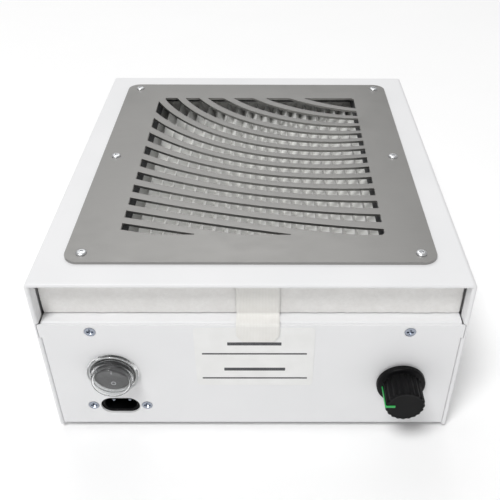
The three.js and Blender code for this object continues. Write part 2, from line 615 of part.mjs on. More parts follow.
// ---- Wires, each a round lead along a smooth curve through a few points ----
const wireRadius = 1.2;
function wire(name, points, material, steps = 20) {
  const curve = new THREE.CatmullRomCurve3(points.map(([x, y, z]) => new THREE.Vector3(x, y, z)));
  const section = new THREE.Shape();
  section.absarc(0, 0, wireRadius, 0, 2 * Math.PI);
  const geometry = new THREE.ExtrudeGeometry(section, { steps, extrudePath: curve, curveSegments: 3 });
  piece(name, solid(geometry), material);
}
const [sx, sz] = socketAt;
wire('wire_socket_to_switch', [[sx - 4.3, 29.5, sz], [sx - 4.6, 34, sz + 1], [sx - 5, 38, sz + 12],
  [terminalX[0], 35, switchAt[1] - 3], [terminalX[0], 30.5, switchAt[1]]], finishes.redWire);
wire('wire_socket_to_board', [[sx + 4.3, 29.5, sz], [sx + 6, 34, sz], [sx + 18, 36, sz - 3], [-36, 26, sz + 1],
  [-25, 22, boardTop + 5], [terminals.left - 1.5, 22, boardTop + 5]], finishes.blueWire);
wire('wire_switch_to_board', [[terminalX[1], 30.5, switchAt[1]], [terminalX[1] + 2, 35, switchAt[1] - 1],
  [-56, 34, 34], [-40, 20, 26], [-18, 19, boardTop + 14], [-14, 21, boardTop + 10.5]], finishes.redWire);
wire('wire_control_to_board', [[knobAt[0], 14.5, knobAt[1] - 4], [knobAt[0] - 2, 19, knobAt[1] - 6],
  [knobAt[0] - 12, 24, 26], [50, 28, 18], [board.right + 1.5, 30, boardTop - 0.8]], finishes.blueWire);
wire('wire_motor', [[2, 22, boardTop + 10.5], [4, 25, boardTop + 14], [3, 36, boardTop + 9], [3, 52, boardTop + 6],
  [3, 66, boardTop + 1], [3, 76, 9.5], [2, 90, 9], [1, fanAt[1] - 34, 9.2], [0, fanAt[1] - 21.5, 9.8]],
finishes.blueWire, 30);

// ---- The origin is the middle of the object's footprint. ----
const frontReach = knob.face - 0.1;
const backReach = bodyDepth + 1.6;
holder.position.y = -(frontReach + backReach) / 2;

export default object;
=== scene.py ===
"""Looks of a desktop nail dust collector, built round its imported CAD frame.

Sizes are millimetres in the maker's axes: x from the middle, y back from the front panel's face
and z up from the floor. Bench.place turns them into the row frame, in metres.
"""

import json
import logging
import math
import sys
from dataclasses import dataclass, field, replace
from enum import Enum
from typing import Sequence

import bmesh
import bpy
import numpy as np
from mathutils import Matrix, Vector, geometry

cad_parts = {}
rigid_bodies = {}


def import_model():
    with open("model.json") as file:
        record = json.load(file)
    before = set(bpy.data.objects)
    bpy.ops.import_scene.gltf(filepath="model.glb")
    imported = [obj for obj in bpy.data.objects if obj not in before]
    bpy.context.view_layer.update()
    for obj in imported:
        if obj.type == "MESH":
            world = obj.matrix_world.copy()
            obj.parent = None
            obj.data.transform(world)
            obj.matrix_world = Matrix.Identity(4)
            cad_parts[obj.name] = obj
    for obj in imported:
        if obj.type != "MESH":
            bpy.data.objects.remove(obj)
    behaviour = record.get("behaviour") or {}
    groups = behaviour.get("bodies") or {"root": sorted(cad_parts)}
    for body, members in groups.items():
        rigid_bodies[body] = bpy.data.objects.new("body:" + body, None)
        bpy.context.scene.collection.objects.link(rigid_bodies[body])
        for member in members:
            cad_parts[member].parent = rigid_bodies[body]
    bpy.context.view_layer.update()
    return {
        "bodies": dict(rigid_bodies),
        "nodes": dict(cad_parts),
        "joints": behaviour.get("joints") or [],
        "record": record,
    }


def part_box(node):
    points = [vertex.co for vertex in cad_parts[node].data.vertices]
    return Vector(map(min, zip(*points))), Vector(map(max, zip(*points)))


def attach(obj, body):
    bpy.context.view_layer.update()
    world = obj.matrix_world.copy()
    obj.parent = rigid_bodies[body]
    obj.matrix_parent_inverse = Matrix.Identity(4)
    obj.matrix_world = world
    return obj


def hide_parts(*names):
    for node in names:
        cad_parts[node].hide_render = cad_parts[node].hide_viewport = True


log = logging.getLogger("dust_collector")

MM = 0.001
TURN = 2 * math.pi
BAND_PERIOD = 0.3142  # a Wave texture's bands repeat every tenth of pi at scale 1
SMOOTH_ANGLE = math.radians(38)
MERGE = 2e-6  # m within which two points are one

Array = np.ndarray
Pairs = Sequence[tuple[float, float]]


# ---------------------------------------------------------------- shapes


class Axis(Enum):
    """The direction that a depth or a height is measured along, as columns for u, v and depth."""

    UP = ((1, 0, 0), (0, 1, 0), (0, 0, 1))
    BACK = ((1, 0, 0), (0, 0, 1), (0, 1, 0))
    SIDE = ((0, 1, 0), (0, 0, 1), (1, 0, 0))

    def carry(self, u: Array, v: Array, depth: Array) -> Array:
        """Points at u, v across the axis and depth along it: u times the first column, and so on.

        Args:
            u: First coordinate across the axis, in mm.
            v: Second coordinate across the axis, in mm.
            depth: Coordinate along the axis, in mm.

        Returns:
            Points with x, y and z in the last dimension.
        """
        u, v, depth = np.broadcast_arrays(u, v, depth)
        return np.stack([u, v, depth], axis=-1) @ np.array(self.value, float)


@dataclass
class Shell:
    """A closed surface: points in mm, and faces as tuples of point numbers."""

    points: Array
    faces: list[tuple[int, ...]]

    @staticmethod
    def joined(shells: Sequence["Shell"]) -> "Shell":
        """Several separate shells as one.

        Args:
            shells: The shells, which don't touch.

        Returns:
            One shell with all their points and faces.
        """
        points, faces, start = [], [], 0
        for shell in shells:
            points.append(shell.points)
            faces += [tuple(int(i) + start for i in face) for face in shell.faces]
            start += len(shell.points)
        return Shell(np.concatenate(points), faces)


def grid(points: Array, wrap: bool = True, caps: bool = True, ring: bool = False) -> Shell:
    """A surface over a grid of points: four neighbours make each face.

    Args:
        points: Rows by columns by 3, in mm.
        wrap: Whether the last column meets the first.
        caps: Whether one flat face closes the first row and another the last.
        ring: Whether the last row meets the first.

    Returns:
        The surface.
    """
    rows, columns = points.shape[:2]
    number = np.arange(rows * columns).reshape(rows, columns)
    across = np.roll(number, -1, axis=1) if wrap else number[:, 1:]
    here = number if wrap else number[:, :-1]
    if ring:
        low, high, low_next, high_next = here, np.roll(here, -1, 0), across, np.roll(across, -1, 0)
    else:
        low, high, low_next, high_next = here[:-1], here[1:], across[:-1], across[1:]
    quads = np.stack([low, low_next, high_next, high], axis=-1).reshape(-1, 4)
    faces = [tuple(face) for face in quads.tolist()]
    if caps and not ring:
        faces += [tuple(number[0][::-1].tolist()), tuple(number[-1].tolist())]
    return Shell(points.reshape(-1, 3), faces)


def turned(radii: Array, heights: Array, centre: Sequence[float], axis: Axis, sides: int = 64) -> Shell:
    """Rings about an axis: each point is centre + r cos(angle) u + r sin(angle) v + height along the axis.

    Args:
        radii: One radius a ring, or rings by sides for rings that aren't round.
        heights: One height a ring, or rings by sides.
        centre: u, v and depth of the middle, in mm.
        axis: The axis that the heights run along.
        sides: Points round each ring.

    Returns:
        A closed surface. A ring of radius 0 becomes a pole when its doubles are merged.
    """
    radii, heights = np.asarray(radii, float), np.asarray(heights, float)
    radii = radii[:, None] if radii.ndim == 1 else radii
    heights = heights[:, None] if heights.ndim == 1 else heights
    sides = max(sides, radii.shape[1]) if radii.shape[1] == 1 else radii.shape[1]
    angle = np.arange(sides) * TURN / sides
    rings = axis.carry(
        centre[0] + radii * np.cos(angle), centre[1] + radii * np.sin(angle), centre[2] + heights
    )
    return grid(rings, caps=False)


def lathe(profile: Pairs, centre: Sequence[float], axis: Axis, sides: int = 64, sign: int = 1) -> Shell:
    """A profile of (radius, height) pairs turned about an axis.

    Args:
        profile: Radius and height of each ring, from pole to pole.
        centre: u, v and depth of the middle, in mm.
        axis: The axis.
        sides: Points round each ring.
        sign: 1, or -1 for heights that run the other way.

    Returns:
        The closed surface.
    """
    rings = np.array(profile, float)
    return turned(rings[:, 0], sign * rings[:, 1], centre, axis, sides)


def circle(u: float, v: float, radius: float, sides: int = 48) -> Array:
    """Points round a circle."""
    angle = np.arange(sides) * TURN / sides
    return np.stack([u + radius * np.cos(angle), v + radius * np.sin(angle)], axis=1)


def rounded(u0: float, u1: float, v0: float, v1: float, radius: float, steps: int = 6) -> Array:
    """A rectangle with round corners: each corner is a quarter circle about its own centre.

    Args:
        u0: Lowest u.
        u1: Highest u.
        v0: Lowest v.
        v1: Highest v.
        radius: Corner radius.
        steps: Points in each corner, less one.

    Returns:
        The outline, anticlockwise.
    """
    angle = np.linspace(0, math.pi / 2, steps + 1)
    near_u, far_u, near_v, far_v = u0 + radius, u1 - radius, v0 + radius, v1 - radius
    centres = [(far_u, far_v), (near_u, far_v), (near_u, near_v), (far_u, near_v)]
    corners = []
    for i, (cu, cv) in enumerate(centres):
        turn = angle + i * math.pi / 2
        corners.append(np.stack([cu + radius * np.cos(turn), cv + radius * np.sin(turn)], axis=1))
    return np.concatenate(corners)


def stadium(u: float, v: float, width: float, height: float, steps: int = 12) -> Array:
    """A slot with round ends, as wide and high as given."""
    radius = min(width, height) / 2 - 1e-3
    return rounded(u - width / 2, u + width / 2, v - height / 2, v + height / 2, radius, steps)


def eased(thickness: float, radius: float, steps: int = 2) -> Array:
    """Inset and depth down a plate's edge: a quarter circle, straight, and a quarter circle back.

    Args:
        thickness: The plate's thickness.
        radius: How much each edge is rounded.
        steps: Faces in each rounding.

    Returns:
        Pairs of inset and depth.
    """
    angle = np.linspace(0, math.pi / 2, steps + 1)
    inset, depth = radius * (1 - np.sin(angle)), radius * (1 - np.cos(angle))
    return np.concatenate([np.stack([inset, depth], 1), np.stack([inset, thickness - depth], 1)[::-1]])


def bent(corners: Sequence[tuple[float, float, float]], steps: int = 6) -> Array:
    """A line through corners with a radius at each: every corner becomes an arc that meets both sides.

    Args:
        corners: u, v and radius of each corner, where 0 leaves it sharp.
        steps: Points in each arc, less one.

    Returns:
        The points of the line.
    """
    line = []
    spots = [np.array(corner[:2], float) for corner in corners]
    for i, (spot, corner) in enumerate(zip(spots, corners)):
        if corner[2] <= 0 or i in (0, len(corners) - 1):
            line.append(spot[None])
            continue
        back, on = spots[i - 1] - spot, spots[i + 1] - spot
        back, on = back / np.linalg.norm(back), on / np.linalg.norm(on)
        half_angle = math.acos(float(np.clip(back @ on, -1, 1))) / 2
        reach = corner[2] / math.tan(half_angle)
        centre = spot + (back + on) / np.linalg.norm(back + on) * corner[2] / math.sin(half_angle)
        start, end = spot + back * reach - centre, spot + on * reach - centre
        sweep = math.atan2(start[0] * end[1] - start[1] * end[0], float(start @ end))
        angle = math.atan2(start[1], start[0]) + np.linspace(0, sweep, steps + 1)
        line.append(centre + corner[2] * np.stack([np.cos(angle), np.sin(angle)], axis=1))
    return np.concatenate(line)


def inward(loop: Array) -> Array:
    """How far each point of a closed loop moves for 1 mm of inset, to the left of the line.

    The move is the sum of the two sides' left normals over 1 plus their dot product.

    Args:
        loop: Points of the loop, n by 2.

    Returns:
        One move a point.
    """
    side = np.roll(loop, -1, axis=0) - loop
    side /= np.linalg.norm(side, axis=1, keepdims=True)
    left = np.stack([-side[:, 1], side[:, 0]], axis=1)
    before = np.roll(left, 1, axis=0)
    dot = np.sum(left * before, axis=1, keepdims=True)
    return (left + before) / np.maximum(1 + dot, 0.35)


def turned_left(loop: Array, is_hole: bool) -> Array:
    """The loop run so that the material is on its left: anticlockwise outside, clockwise round a hole."""
    after = np.roll(loop, -1, axis=0)
    area = np.sum(loop[:, 0] * after[:, 1] - loop[:, 1] * after[:, 0])
    return loop[::-1] if (area > 0) == is_hole else loop


def plate(loops: Sequence[Array], edges: Sequence[Array] | Array, axis: Axis, start: float) -> Shell:
    """A flat sheet with holes: every loop is carried down its edge profile, and the two faces are filled.

    Args:
        loops: The outline, then the holes, n by 2 each.
        edges: Inset and depth down each loop's edge, or one profile for all of them.
        axis: The axis across the sheet.
        start: Where the first face is along it.

    Returns:
        The closed sheet.
    """
    profiles = [edges] * len(loops) if isinstance(edges, np.ndarray) else list(edges)
    shells, first, last, fronts, backs, offset = [], [], [], [], [], 0
    for i, (loop, profile) in enumerate(zip(loops, profiles)):
        loop = turned_left(loop, i > 0)
        moved = loop[None] + profile[:, 0, None, None] * inward(loop)[None]
        wall = grid(axis.carry(moved[..., 0], moved[..., 1], start + profile[:, 1, None]), caps=False)
        shells.append(wall)
        count = len(loop)
        fronts.append(np.arange(count) + offset)
        backs.append(np.arange(count) + offset + (len(profile) - 1) * count)
        offset += len(wall.points)
        first.append([(float(u), float(v), 0.0) for u, v in moved[0]])
        last.append([(float(u), float(v), 0.0) for u, v in moved[-1]])
    whole = Shell.joined(shells)
    for flat, numbers in ((first, np.concatenate(fronts)), (last, np.concatenate(backs))):
        filled = geometry.tessellate_polygon(flat)
        whole.faces += [tuple(int(numbers[i]) for i in face) for face in filled]
    return whole


def cutter(loop: Array, axis: Axis, start: float, depth: float) -> Shell:
    """A straight-sided tool that cuts a loop's shape out of a sheet, from start on for a depth."""
    return plate([loop], eased(depth, 0.01, 1), axis, start)


def channel(
    sides: tuple[float, float], base: float, ends: tuple[float, float], radius: float, sheet: float,
    steps: int = 6,
) -> Array:
    """The section of a sheet bent into a U, in y and z: its outer line, and its inner line one sheet in.

    Args:
        sides: y of its two outer sides.
        base: z of its outer base.
        ends: z where each side ends.
        radius: Outer radius of its bends.
        sheet: Its thickness.
        steps: Points in each bend, less one.

    Returns:
        The closed section.
    """
    toward = math.copysign(1, ends[0] - base)
    lines = []
    for inset in (0, sheet):
        near, far, level = sides[0] + inset, sides[1] - inset, base + toward * inset
        corner = radius - inset
        lines.append(bent([
            (near, ends[0], 0), (near, level, corner), (far, level, corner), (far, ends[1], 0)], steps))
    return np.concatenate([lines[0], lines[1][::-1]])


def block(
    low: Sequence[float], high: Sequence[float], radius: float = 0.3, steps: int = 3, cuts: int = 1
) -> Shell:
    """A block with rounded edges: a rounded rectangle in y and z, carried along x, drawn in at both ends.

    Args:
        low: Lowest corner.
        high: Highest corner.
        radius: How much the edges are rounded.
        steps: Faces in each rounding.
        cuts: Faces along x.

    Returns:
        The closed block.
    """
    angle = np.linspace(0, math.pi / 2, steps + 1)
    draw = radius * (1 - np.sin(angle))
    along = low[0] + radius * (1 - np.cos(angle))
    middle = np.linspace(low[0] + radius, high[0] - radius, cuts + 1)[1:-1]
    xs = np.concatenate([along, middle, (low[0] + high[0] - along)[::-1]])
    insets = np.concatenate([draw, np.zeros(len(middle)), draw[::-1]])
    section = rounded(low[1], high[1], low[2], high[2], radius, steps)
    centre = (np.array(low[1:]) + np.array(high[1:])) / 2
    half = (np.array(high[1:]) - np.array(low[1:])) / 2
    share = (half[None] - insets[:, None]) / half[None]
    ring = centre + (section - centre)[None] * share[:, None]
    return grid(Axis.SIDE.carry(ring[..., 0], ring[..., 1], xs[:, None]))


def ripple(points: Array, size: float, seed: int, waves: int = 24) -> Array:
    """Smooth noise from -1 to 1: the mean of many sines with random directions, over its usual peak.

    Args:
        points: Points in mm.
        size: Typical distance between neighbouring crests, in mm.
        seed: Start of the random numbers.
        waves: How many sines are added.

    Returns:
        One value a point.
    """
    random = np.random.default_rng(seed)
    direction = random.normal(size=(waves, 3))
    direction *= TURN / size / np.linalg.norm(direction, axis=1, keepdims=True)
    direction *= random.uniform(0.6, 1.5, (waves, 1))
    phase = random.uniform(0, TURN, waves)
    return np.sin(points @ direction.T + phase).mean(axis=-1) * math.sqrt(waves) / 2


# ---------------------------------------------------------------- the bench: frame, meshes, cuts


@dataclass
class Bench:
    """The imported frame, and what turns shells into pieces that ride on it."""

    frame: dict
    front: float = 0.0
    pieces: list[bpy.types.Object] = field(default_factory=list)

    def __post_init__(self) -> None:
        """Finds the front panel's face, which y is measured from."""
        self.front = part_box("base_tray")[0].y / MM

    def box(self, node: str) -> tuple[Array, Array]:
        """A CAD node's lowest and highest corners in the maker's mm.

        Args:
            node: The node's name.

        Returns:
            The two corners.
        """
        shift = np.array([0, self.front, 0])
        low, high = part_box(node)
        return np.array(low) / MM - shift, np.array(high) / MM - shift

    def centre(self, node: str) -> Array:
        """The middle of a CAD node's box in the maker's mm."""
        low, high = self.box(node)
        return (low + high) / 2

    def place(self, points: Array) -> Array:
        """Points of the maker's axes in the row frame, in metres."""
        return (points + np.array([0, self.front, 0])) * MM

    def raw(self, name: str, shell: Shell) -> bpy.types.Object:
        """A shell as a mesh object with its doubles merged and its faces outward.

        Args:
            name: The object's name.
            shell: The surface.

        Returns:
            The object, at the origin.
        """
        mesh = bpy.data.meshes.new(name)
        mesh.from_pydata(self.place(shell.points), [], shell.faces)
        work = bmesh.new()
        work.from_mesh(mesh)
        bmesh.ops.remove_doubles(work, verts=work.verts, dist=MERGE)
        bmesh.ops.recalc_face_normals(work, faces=work.faces)
        work.to_mesh(mesh)
        work.free()
        obj = bpy.data.objects.new(name, mesh)
        bpy.context.scene.collection.objects.link(obj)
        return obj

    def settle(self, obj: bpy.types.Object) -> None:
        """Applies an object's modifiers to its mesh."""
        bpy.context.view_layer.update()
        evaluated = obj.evaluated_get(bpy.context.evaluated_depsgraph_get())
        mesh = bpy.data.meshes.new_from_object(evaluated)
        obj.modifiers.clear()
        obj.data = mesh

    def combine(self, obj: bpy.types.Object, shells: Sequence[Shell], operation: str) -> None:
        """Cuts shells out of an object, or joins them to it.

        Args:
            obj: The object that changes.
            shells: The other bodies. They don't touch one another.
            operation: DIFFERENCE or UNION.
        """
        tool = self.raw("tool", Shell.joined(shells))
        modifier = obj.modifiers.new("combine", "BOOLEAN")
        modifier.operation, modifier.solver, modifier.object = operation, "EXACT", tool
        self.settle(obj)
        bpy.data.objects.remove(tool)

    def soften(self, obj: bpy.types.Object, width: float, segments: int = 2) -> None:
        """Rounds an object's sharp edges."""
        bevel = obj.modifiers.new("edges", "BEVEL")
        bevel.width, bevel.segments = width * MM, segments
        bevel.limit_method, bevel.angle_limit = "ANGLE", SMOOTH_ANGLE
        self.settle(obj)

    def finish(
        self,
        obj: bpy.types.Object,
        finish: "Finish",
        body: str,
        slot: str,
        stands_for: Sequence[str] = (),
    ) -> bpy.types.Object:
        """Shades, paints and mounts a piece.

        Args:
            obj: The piece.
            finish: Its material.
            body: The body that it rides on.
            slot: The record's material slot. Not used.
            stands_for: CAD nodes that it is shown in place of.

        Returns:
            The piece.
        """
        obj.data.shade_smooth()
        obj.data.set_sharp_from_angle(angle=SMOOTH_ANGLE)
        obj.modifiers.new("even shading", "WEIGHTED_NORMAL").keep_sharp = True
        obj.data.materials.clear()
        obj.data.materials.append(finish.material())
        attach(obj, body)
        if stands_for:
            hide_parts(*stands_for)
        self.pieces.append(obj)
        return obj

    def make(
        self, name: str, shell: Shell, finish: "Finish", body: str, slot: str, stands_for: Sequence[str] = ()
    ) -> bpy.types.Object:
        """A finished piece straight from a shell. The arguments are those of raw and finish."""
        return self.finish(self.raw(name, shell), finish, body, slot, stands_for)

    def refined(self, node: str, width: float = 0.25) -> bpy.types.Object:
        """A finer copy of a CAD node: its triangles merged into flat faces, and its edges rounded.

        Args:
            node: The node's name.
            width: How much its edges are rounded, in mm.

        Returns:
            The copy, which isn't mounted yet.
        """
        mesh = self.frame["nodes"][node].data.copy()
        work = bmesh.new()
        work.from_mesh(mesh)
        bmesh.ops.remove_doubles(work, verts=work.verts, dist=MERGE)
        bmesh.ops.dissolve_limit(
            work, angle_limit=math.radians(1), verts=work.verts, edges=work.edges, delimit=set()
        )
        work.to_mesh(mesh)
        work.free()
        obj = bpy.data.objects.new(f"{node}_finished", mesh)
        bpy.context.scene.collection.objects.link(obj)
        self.soften(obj, width)
        return obj

    def refine(
        self, nodes: Sequence[str], finish: "Finish", body: str, slot: str, width: float = 0.25
    ) -> None:
        """Shows finer copies of CAD nodes in their place. The arguments are those of refined and finish."""
        for node in nodes:
            self.finish(self.refined(node, width), finish, body, slot, [node])


# ---------------------------------------------------------------- finishes


def linear(hex_colour: str) -> tuple[float, float, float, float]:
    """An sRGB colour made linear: ((c + 0.055) / 1.055) to the power 2.4, or c / 12.92 when dark.

    Args:
        hex_colour: Six hex digits after a hash.

    Returns:
        Red, green, blue and 1.
    """
    channels = [int(hex_colour[i : i + 2], 16) / 255 for i in (1, 3, 5)]
    straight = [c / 12.92 if c <= 0.04045 else ((c + 0.055) / 1.055) ** 2.4 for c in channels]
    return (*straight, 1.0)


def add_node(
    tree: bpy.types.NodeTree, kind: str, inputs: dict | None = None, **settings: object
) -> bpy.types.Node:
    """Adds a node with its settings and its inputs.

    Args:
        tree: The material's or world's nodes.
        kind: The node's type name.
        inputs: A value, or a socket to link from, for each input by name or number.
        **settings: The node's own properties.

    Returns:
        The node.
    """
    node = tree.nodes.new(kind)
    for name, value in settings.items():
        setattr(node, name, value)
    for name, value in (inputs or {}).items():
        if isinstance(value, bpy.types.NodeSocket):
            tree.links.new(value, node.inputs[name])
        else:
            node.inputs[name].default_value = value
    return node


class Pattern(Enum):
    """The kinds of grain that a finish is made of."""

    CLOUDS = "ShaderNodeTexNoise"
    CELLS = "ShaderNodeTexVoronoi"
    THREADS = "ShaderNodeTexWave"


@dataclass(frozen=True)
class Grain:
    """One layer of a surface: what it is, how large, and what it does to relief, colour and gloss."""

    size: float  # mm from one bump to the next
    height: float = 0.0  # mm of relief
    tint: float = 0.0  # most that it turns the colour towards the second one
    rough: float = 0.0  # how far it moves the roughness up and down
    pattern: Pattern = Pattern.CLOUDS
    stretch: tuple[float, float, float] = (1, 1, 1)  # how drawn out it is along x, y and z
    detail: float = 2.0
    direction: str = "X"  # the way that threads follow one another

    def value(self, tree: bpy.types.NodeTree, place: bpy.types.NodeSocket) -> bpy.types.NodeSocket:
        """Adds the layer's texture.

        Args:
            tree: The material's nodes.
            place: The Object coordinates.

        Returns:
            The socket with its value, 0 to 1.
        """
        across = BAND_PERIOD if self.pattern is Pattern.THREADS else 1.0
        scale = tuple(across / (self.size * MM * s) for s in self.stretch)
        spread = add_node(tree, "ShaderNodeMapping", {"Vector": place, "Scale": scale})
        sizes = {"Vector": spread.outputs[0], "Scale": 1.0}
        if self.pattern is Pattern.THREADS:
            uneven = {**sizes, "Distortion": 0.6, "Detail": 1.0}
            threads = add_node(tree, self.pattern.value, uneven, bands_direction=self.direction)
            return threads.outputs["Fac"]
        if self.pattern is Pattern.CELLS:
            cells = add_node(tree, self.pattern.value, sizes)
            shade = add_node(tree, "ShaderNodeSeparateColor", {0: cells.outputs["Color"]})
            return shade.outputs[0]
        clouds = add_node(tree, self.pattern.value, {**sizes, "Detail": self.detail})
        return clouds.outputs[0]


@dataclass(frozen=True)
class Finish:
    """A real material and how its surface was made."""

    name: str
    colour: str
    second: str = ""
    roughness: float = 0.5
    metallic: float = 0.0
    ior: float = 1.5
    grains: tuple[Grain, ...] = ()
    extras: tuple[tuple[str, float], ...] = ()

    def material(self) -> bpy.types.Material:
        """The finish as a material, made once.

        Returns:
            The material: colour, roughness and relief each start plain and pass through the grains in turn.
        """
        found = bpy.data.materials.get(self.name)
        if found:
            return found
        material = bpy.data.materials.new(self.name)
        material.use_nodes = True
        tree = material.node_tree
        tree.nodes.clear()
        place = add_node(tree, "ShaderNodeTexCoord").outputs["Object"]
        colour, rough, normal = linear(self.colour), self.roughness, None
        for grain in self.grains:
            value = grain.value(tree, place)
            even = {"Value": value, "From Min": 0.3, "From Max": 0.7}
            if grain.tint:
                share = add_node(tree, "ShaderNodeMapRange", {**even, "To Max": grain.tint})
                ends = {6: colour, 7: linear(self.second or self.colour)}
                mixed = add_node(tree, "ShaderNodeMix", {0: share.outputs[0], **ends}, data_type="RGBA")
                colour = mixed.outputs[2]
            if grain.rough:
                swings = {**even, "To Min": -grain.rough, "To Max": grain.rough}
                swing = add_node(tree, "ShaderNodeMapRange", swings)
                added = add_node(tree, "ShaderNodeMath", {0: swing.outputs[0], 1: rough}, operation="ADD")
                rough = added.outputs[0]
            if grain.height:
                relief = {"Height": value, "Distance": grain.height * MM, "Strength": 1.0}
                if normal:
                    relief["Normal"] = normal
                normal = add_node(tree, "ShaderNodeBump", relief).outputs[0]
        sockets = {"Base Color": colour, "Roughness": rough, "Metallic": self.metallic, **dict(self.extras)}
        if not self.metallic:
            sockets["IOR"] = self.ior
        if normal:
            sockets["Normal"] = normal
        shader = add_node(tree, "ShaderNodeBsdfPrincipled", sockets)
        add_node(tree, "ShaderNodeOutputMaterial", {"Surface": shader.outputs[0]})
        return material


# Polyester powder coat on steel sheet, baked: satin white, with the soft orange peel of flowed
# powder every 1.1 mm and a finer grit in it.
POWDER_COAT = Finish(
    "powder_coat_white", "#E9E9EA", "#DFE0E1", 0.46, ior=1.5,
    grains=(Grain(38, tint=0.35), Grain(1.1, height=0.012), Grain(0.45, height=0.004, rough=0.05)),
)
# Cold-rolled stainless sheet, 2B mill finish: grey, cloudy where the pickling bit, and drawn out
# along x by the rolls. The real grain is 0.05 mm wide, and is drawn at 0.35 mm so that it shows.
ROLLED_STAINLESS = Finish(
    "stainless_2b_rolled", "#999896", "#A6A5A3", 0.44, metallic=1.0,
    grains=(
        Grain(30, tint=0.6, rough=0.05, detail=5),
        Grain(6, tint=0.35, rough=0.04, stretch=(1.8, 1, 1)),
        Grain(0.35, height=0.002, tint=0.15, stretch=(14, 1, 1)),
    ),
)
# Bright zinc on steel screws, barrel plated: bluish silver with fine tumbling marks.
ZINC_PLATE = Finish(
    "zinc_plate_bright", "#A3A9B4", "#858C99", 0.27, metallic=1.0,
    grains=(Grain(0.9, tint=0.5, rough=0.08), Grain(0.3, height=0.006)),
)
# The grille's screws are zinc too, passivated clear: paler and less blue.
CLEAR_ZINC = replace(ZINC_PLATE, name="zinc_plate_clear", colour="#E9EAEB", second="#D5D7DA", roughness=0.34)
# Hot-dip galvanised sheet: flat grey crystals 7 mm across, each with its own tone and gloss.
GALVANISED = Finish(
    "galvanised_sheet", "#8E9397", "#A9AEB1", 0.42, metallic=1.0,
    grains=(Grain(7, tint=0.8, rough=0.1, pattern=Pattern.CELLS), Grain(0.6, height=0.004)),
)
# Needled polyester felt: matt off-white fibre, matted every 2 mm, with single fibres drawn at 0.3 mm.
NEEDLED_FELT = Finish(
    "polyester_felt_needled", "#F5F4F2", "#E0DEDB", 0.96, ior=1.45,
    grains=(
        Grain(9, tint=0.3, detail=3),
        Grain(2.2, height=0.16, tint=0.35, detail=4),
        Grain(0.3, height=0.05, tint=0.25, stretch=(3, 1, 1), detail=3),
    ),
    extras=(("Sheen Weight", 0.25), ("Sheen Roughness", 0.5)),
)
# Filter paper, pleated: matt and pale, with the cockle of wet-laid fibre every 1.6 mm.
FILTER_PAPER = Finish(
    "filter_paper_pleated", "#F8F8F6", "#EAEAE8", 0.93, ior=1.45,
    grains=(Grain(14, tint=0.4), Grain(1.6, height=0.05, tint=0.25, detail=4)),
)
# Woven cotton tape, bleached: threads 0.7 mm apart both ways, matt, with a little sheen.
WOVEN_TAPE = Finish(
    "cotton_tape_woven", "#F0EFEC", "#DFDDD8", 0.9, ior=1.45,
    grains=(
        Grain(0.7, height=0.05, tint=0.4, pattern=Pattern.THREADS, direction="X"),
        Grain(0.7, height=0.05, tint=0.3, pattern=Pattern.THREADS, direction="Z"),
        Grain(0.7, height=0.06, pattern=Pattern.THREADS, direction="Y"),
        Grain(5, tint=0.3),
    ),
    extras=(("Sheen Weight", 0.3), ("Sheen Roughness", 0.4)),
)
# Closed-cell polyethylene foam, skived: charcoal, with open cut cells 0.8 mm across.
SEAL_FOAM = Finish(
    "polyethylene_foam", "#5A5B5D", "#3F4044", 0.95, ior=1.45,
    grains=(Grain(0.8, height=0.22, tint=0.8, pattern=Pattern.CELLS), Grain(3, tint=0.4)),
)
# ABS, moulded black in a spark-eroded tool: satin, with a fine texture of 0.35 mm.
BLACK_ABS = Finish(
    "abs_black_moulded", "#060607", "#0B0B0D", 0.46, ior=1.54,
    grains=(Grain(0.35, height=0.008, rough=0.06), Grain(6, tint=0.6, rough=0.04)),
    extras=(("Specular IOR Level", 0.12),),
)
# ABS, moulded grey with a finer texture, a little shiny where fingers press it.
GREY_ABS = Finish(
    "abs_grey_moulded", "#232325", "#2C2C2E", 0.45, ior=1.54,
    grains=(Grain(0.4, height=0.01, rough=0.05), Grain(5, tint=0.5, rough=0.05)),
)
# Soft PVC, moulded clear: glassy, with the flow of the mould in it.
CLEAR_PVC = Finish(
    "pvc_soft_clear", "#FBFCFC", roughness=0.025, ior=1.46, grains=(Grain(5, height=0.012),),
    extras=(("Transmission Weight", 1.0), ("Specular IOR Level", 0.2)),
)
# Polypropylene label film, white and matt, with the press of its liner in it.
LABEL_FILM = Finish(
    "polypropylene_label", "#ECECEB", "#E2E2E0", 0.5, ior=1.49,
    grains=(Grain(9, tint=0.5), Grain(1.4, height=0.004, rough=0.05)),
)
# Thermal-transfer print: a dense grey-black ribbon laid on the film, faintly uneven.
LABEL_PRINT = Finish(
    "thermal_print", "#3C3D40", "#55565A", 0.55, grains=(Grain(2.5, tint=0.6), Grain(0.4, tint=0.3))
)
# White pad print on the rocker.
PAD_PRINT = Finish("pad_print_white", "#D9DADB", "#BFC1C3", 0.5, grains=(Grain(1.2, tint=0.5),))
# ABS moulded green, the knob's insert: bright and a little glossy.
GREEN_ABS = Finish(
    "abs_green_moulded", "#1FA34A", "#31B85C", 0.36, ior=1.54,
    grains=(Grain(3, tint=0.5, rough=0.05), Grain(0.35, height=0.006)),
)
# Stamped brass, unlacquered: warm, dulled in patches.
STAMPED_BRASS = Finish(
    "brass_stamped", "#C7A457", "#A98541", 0.33, metallic=1.0,
    grains=(Grain(4, tint=0.6, rough=0.1), Grain(0.3, height=0.004, stretch=(1, 8, 1))),
)
# Natural rubber, moulded: black, matt and slightly bloomed.
FOOT_RUBBER = Finish(
    "rubber_moulded", "#1D1D1F", "#333437", 0.88, ior=1.52,
    grains=(Grain(3, tint=0.6, rough=0.06), Grain(0.4, height=0.02)),
)
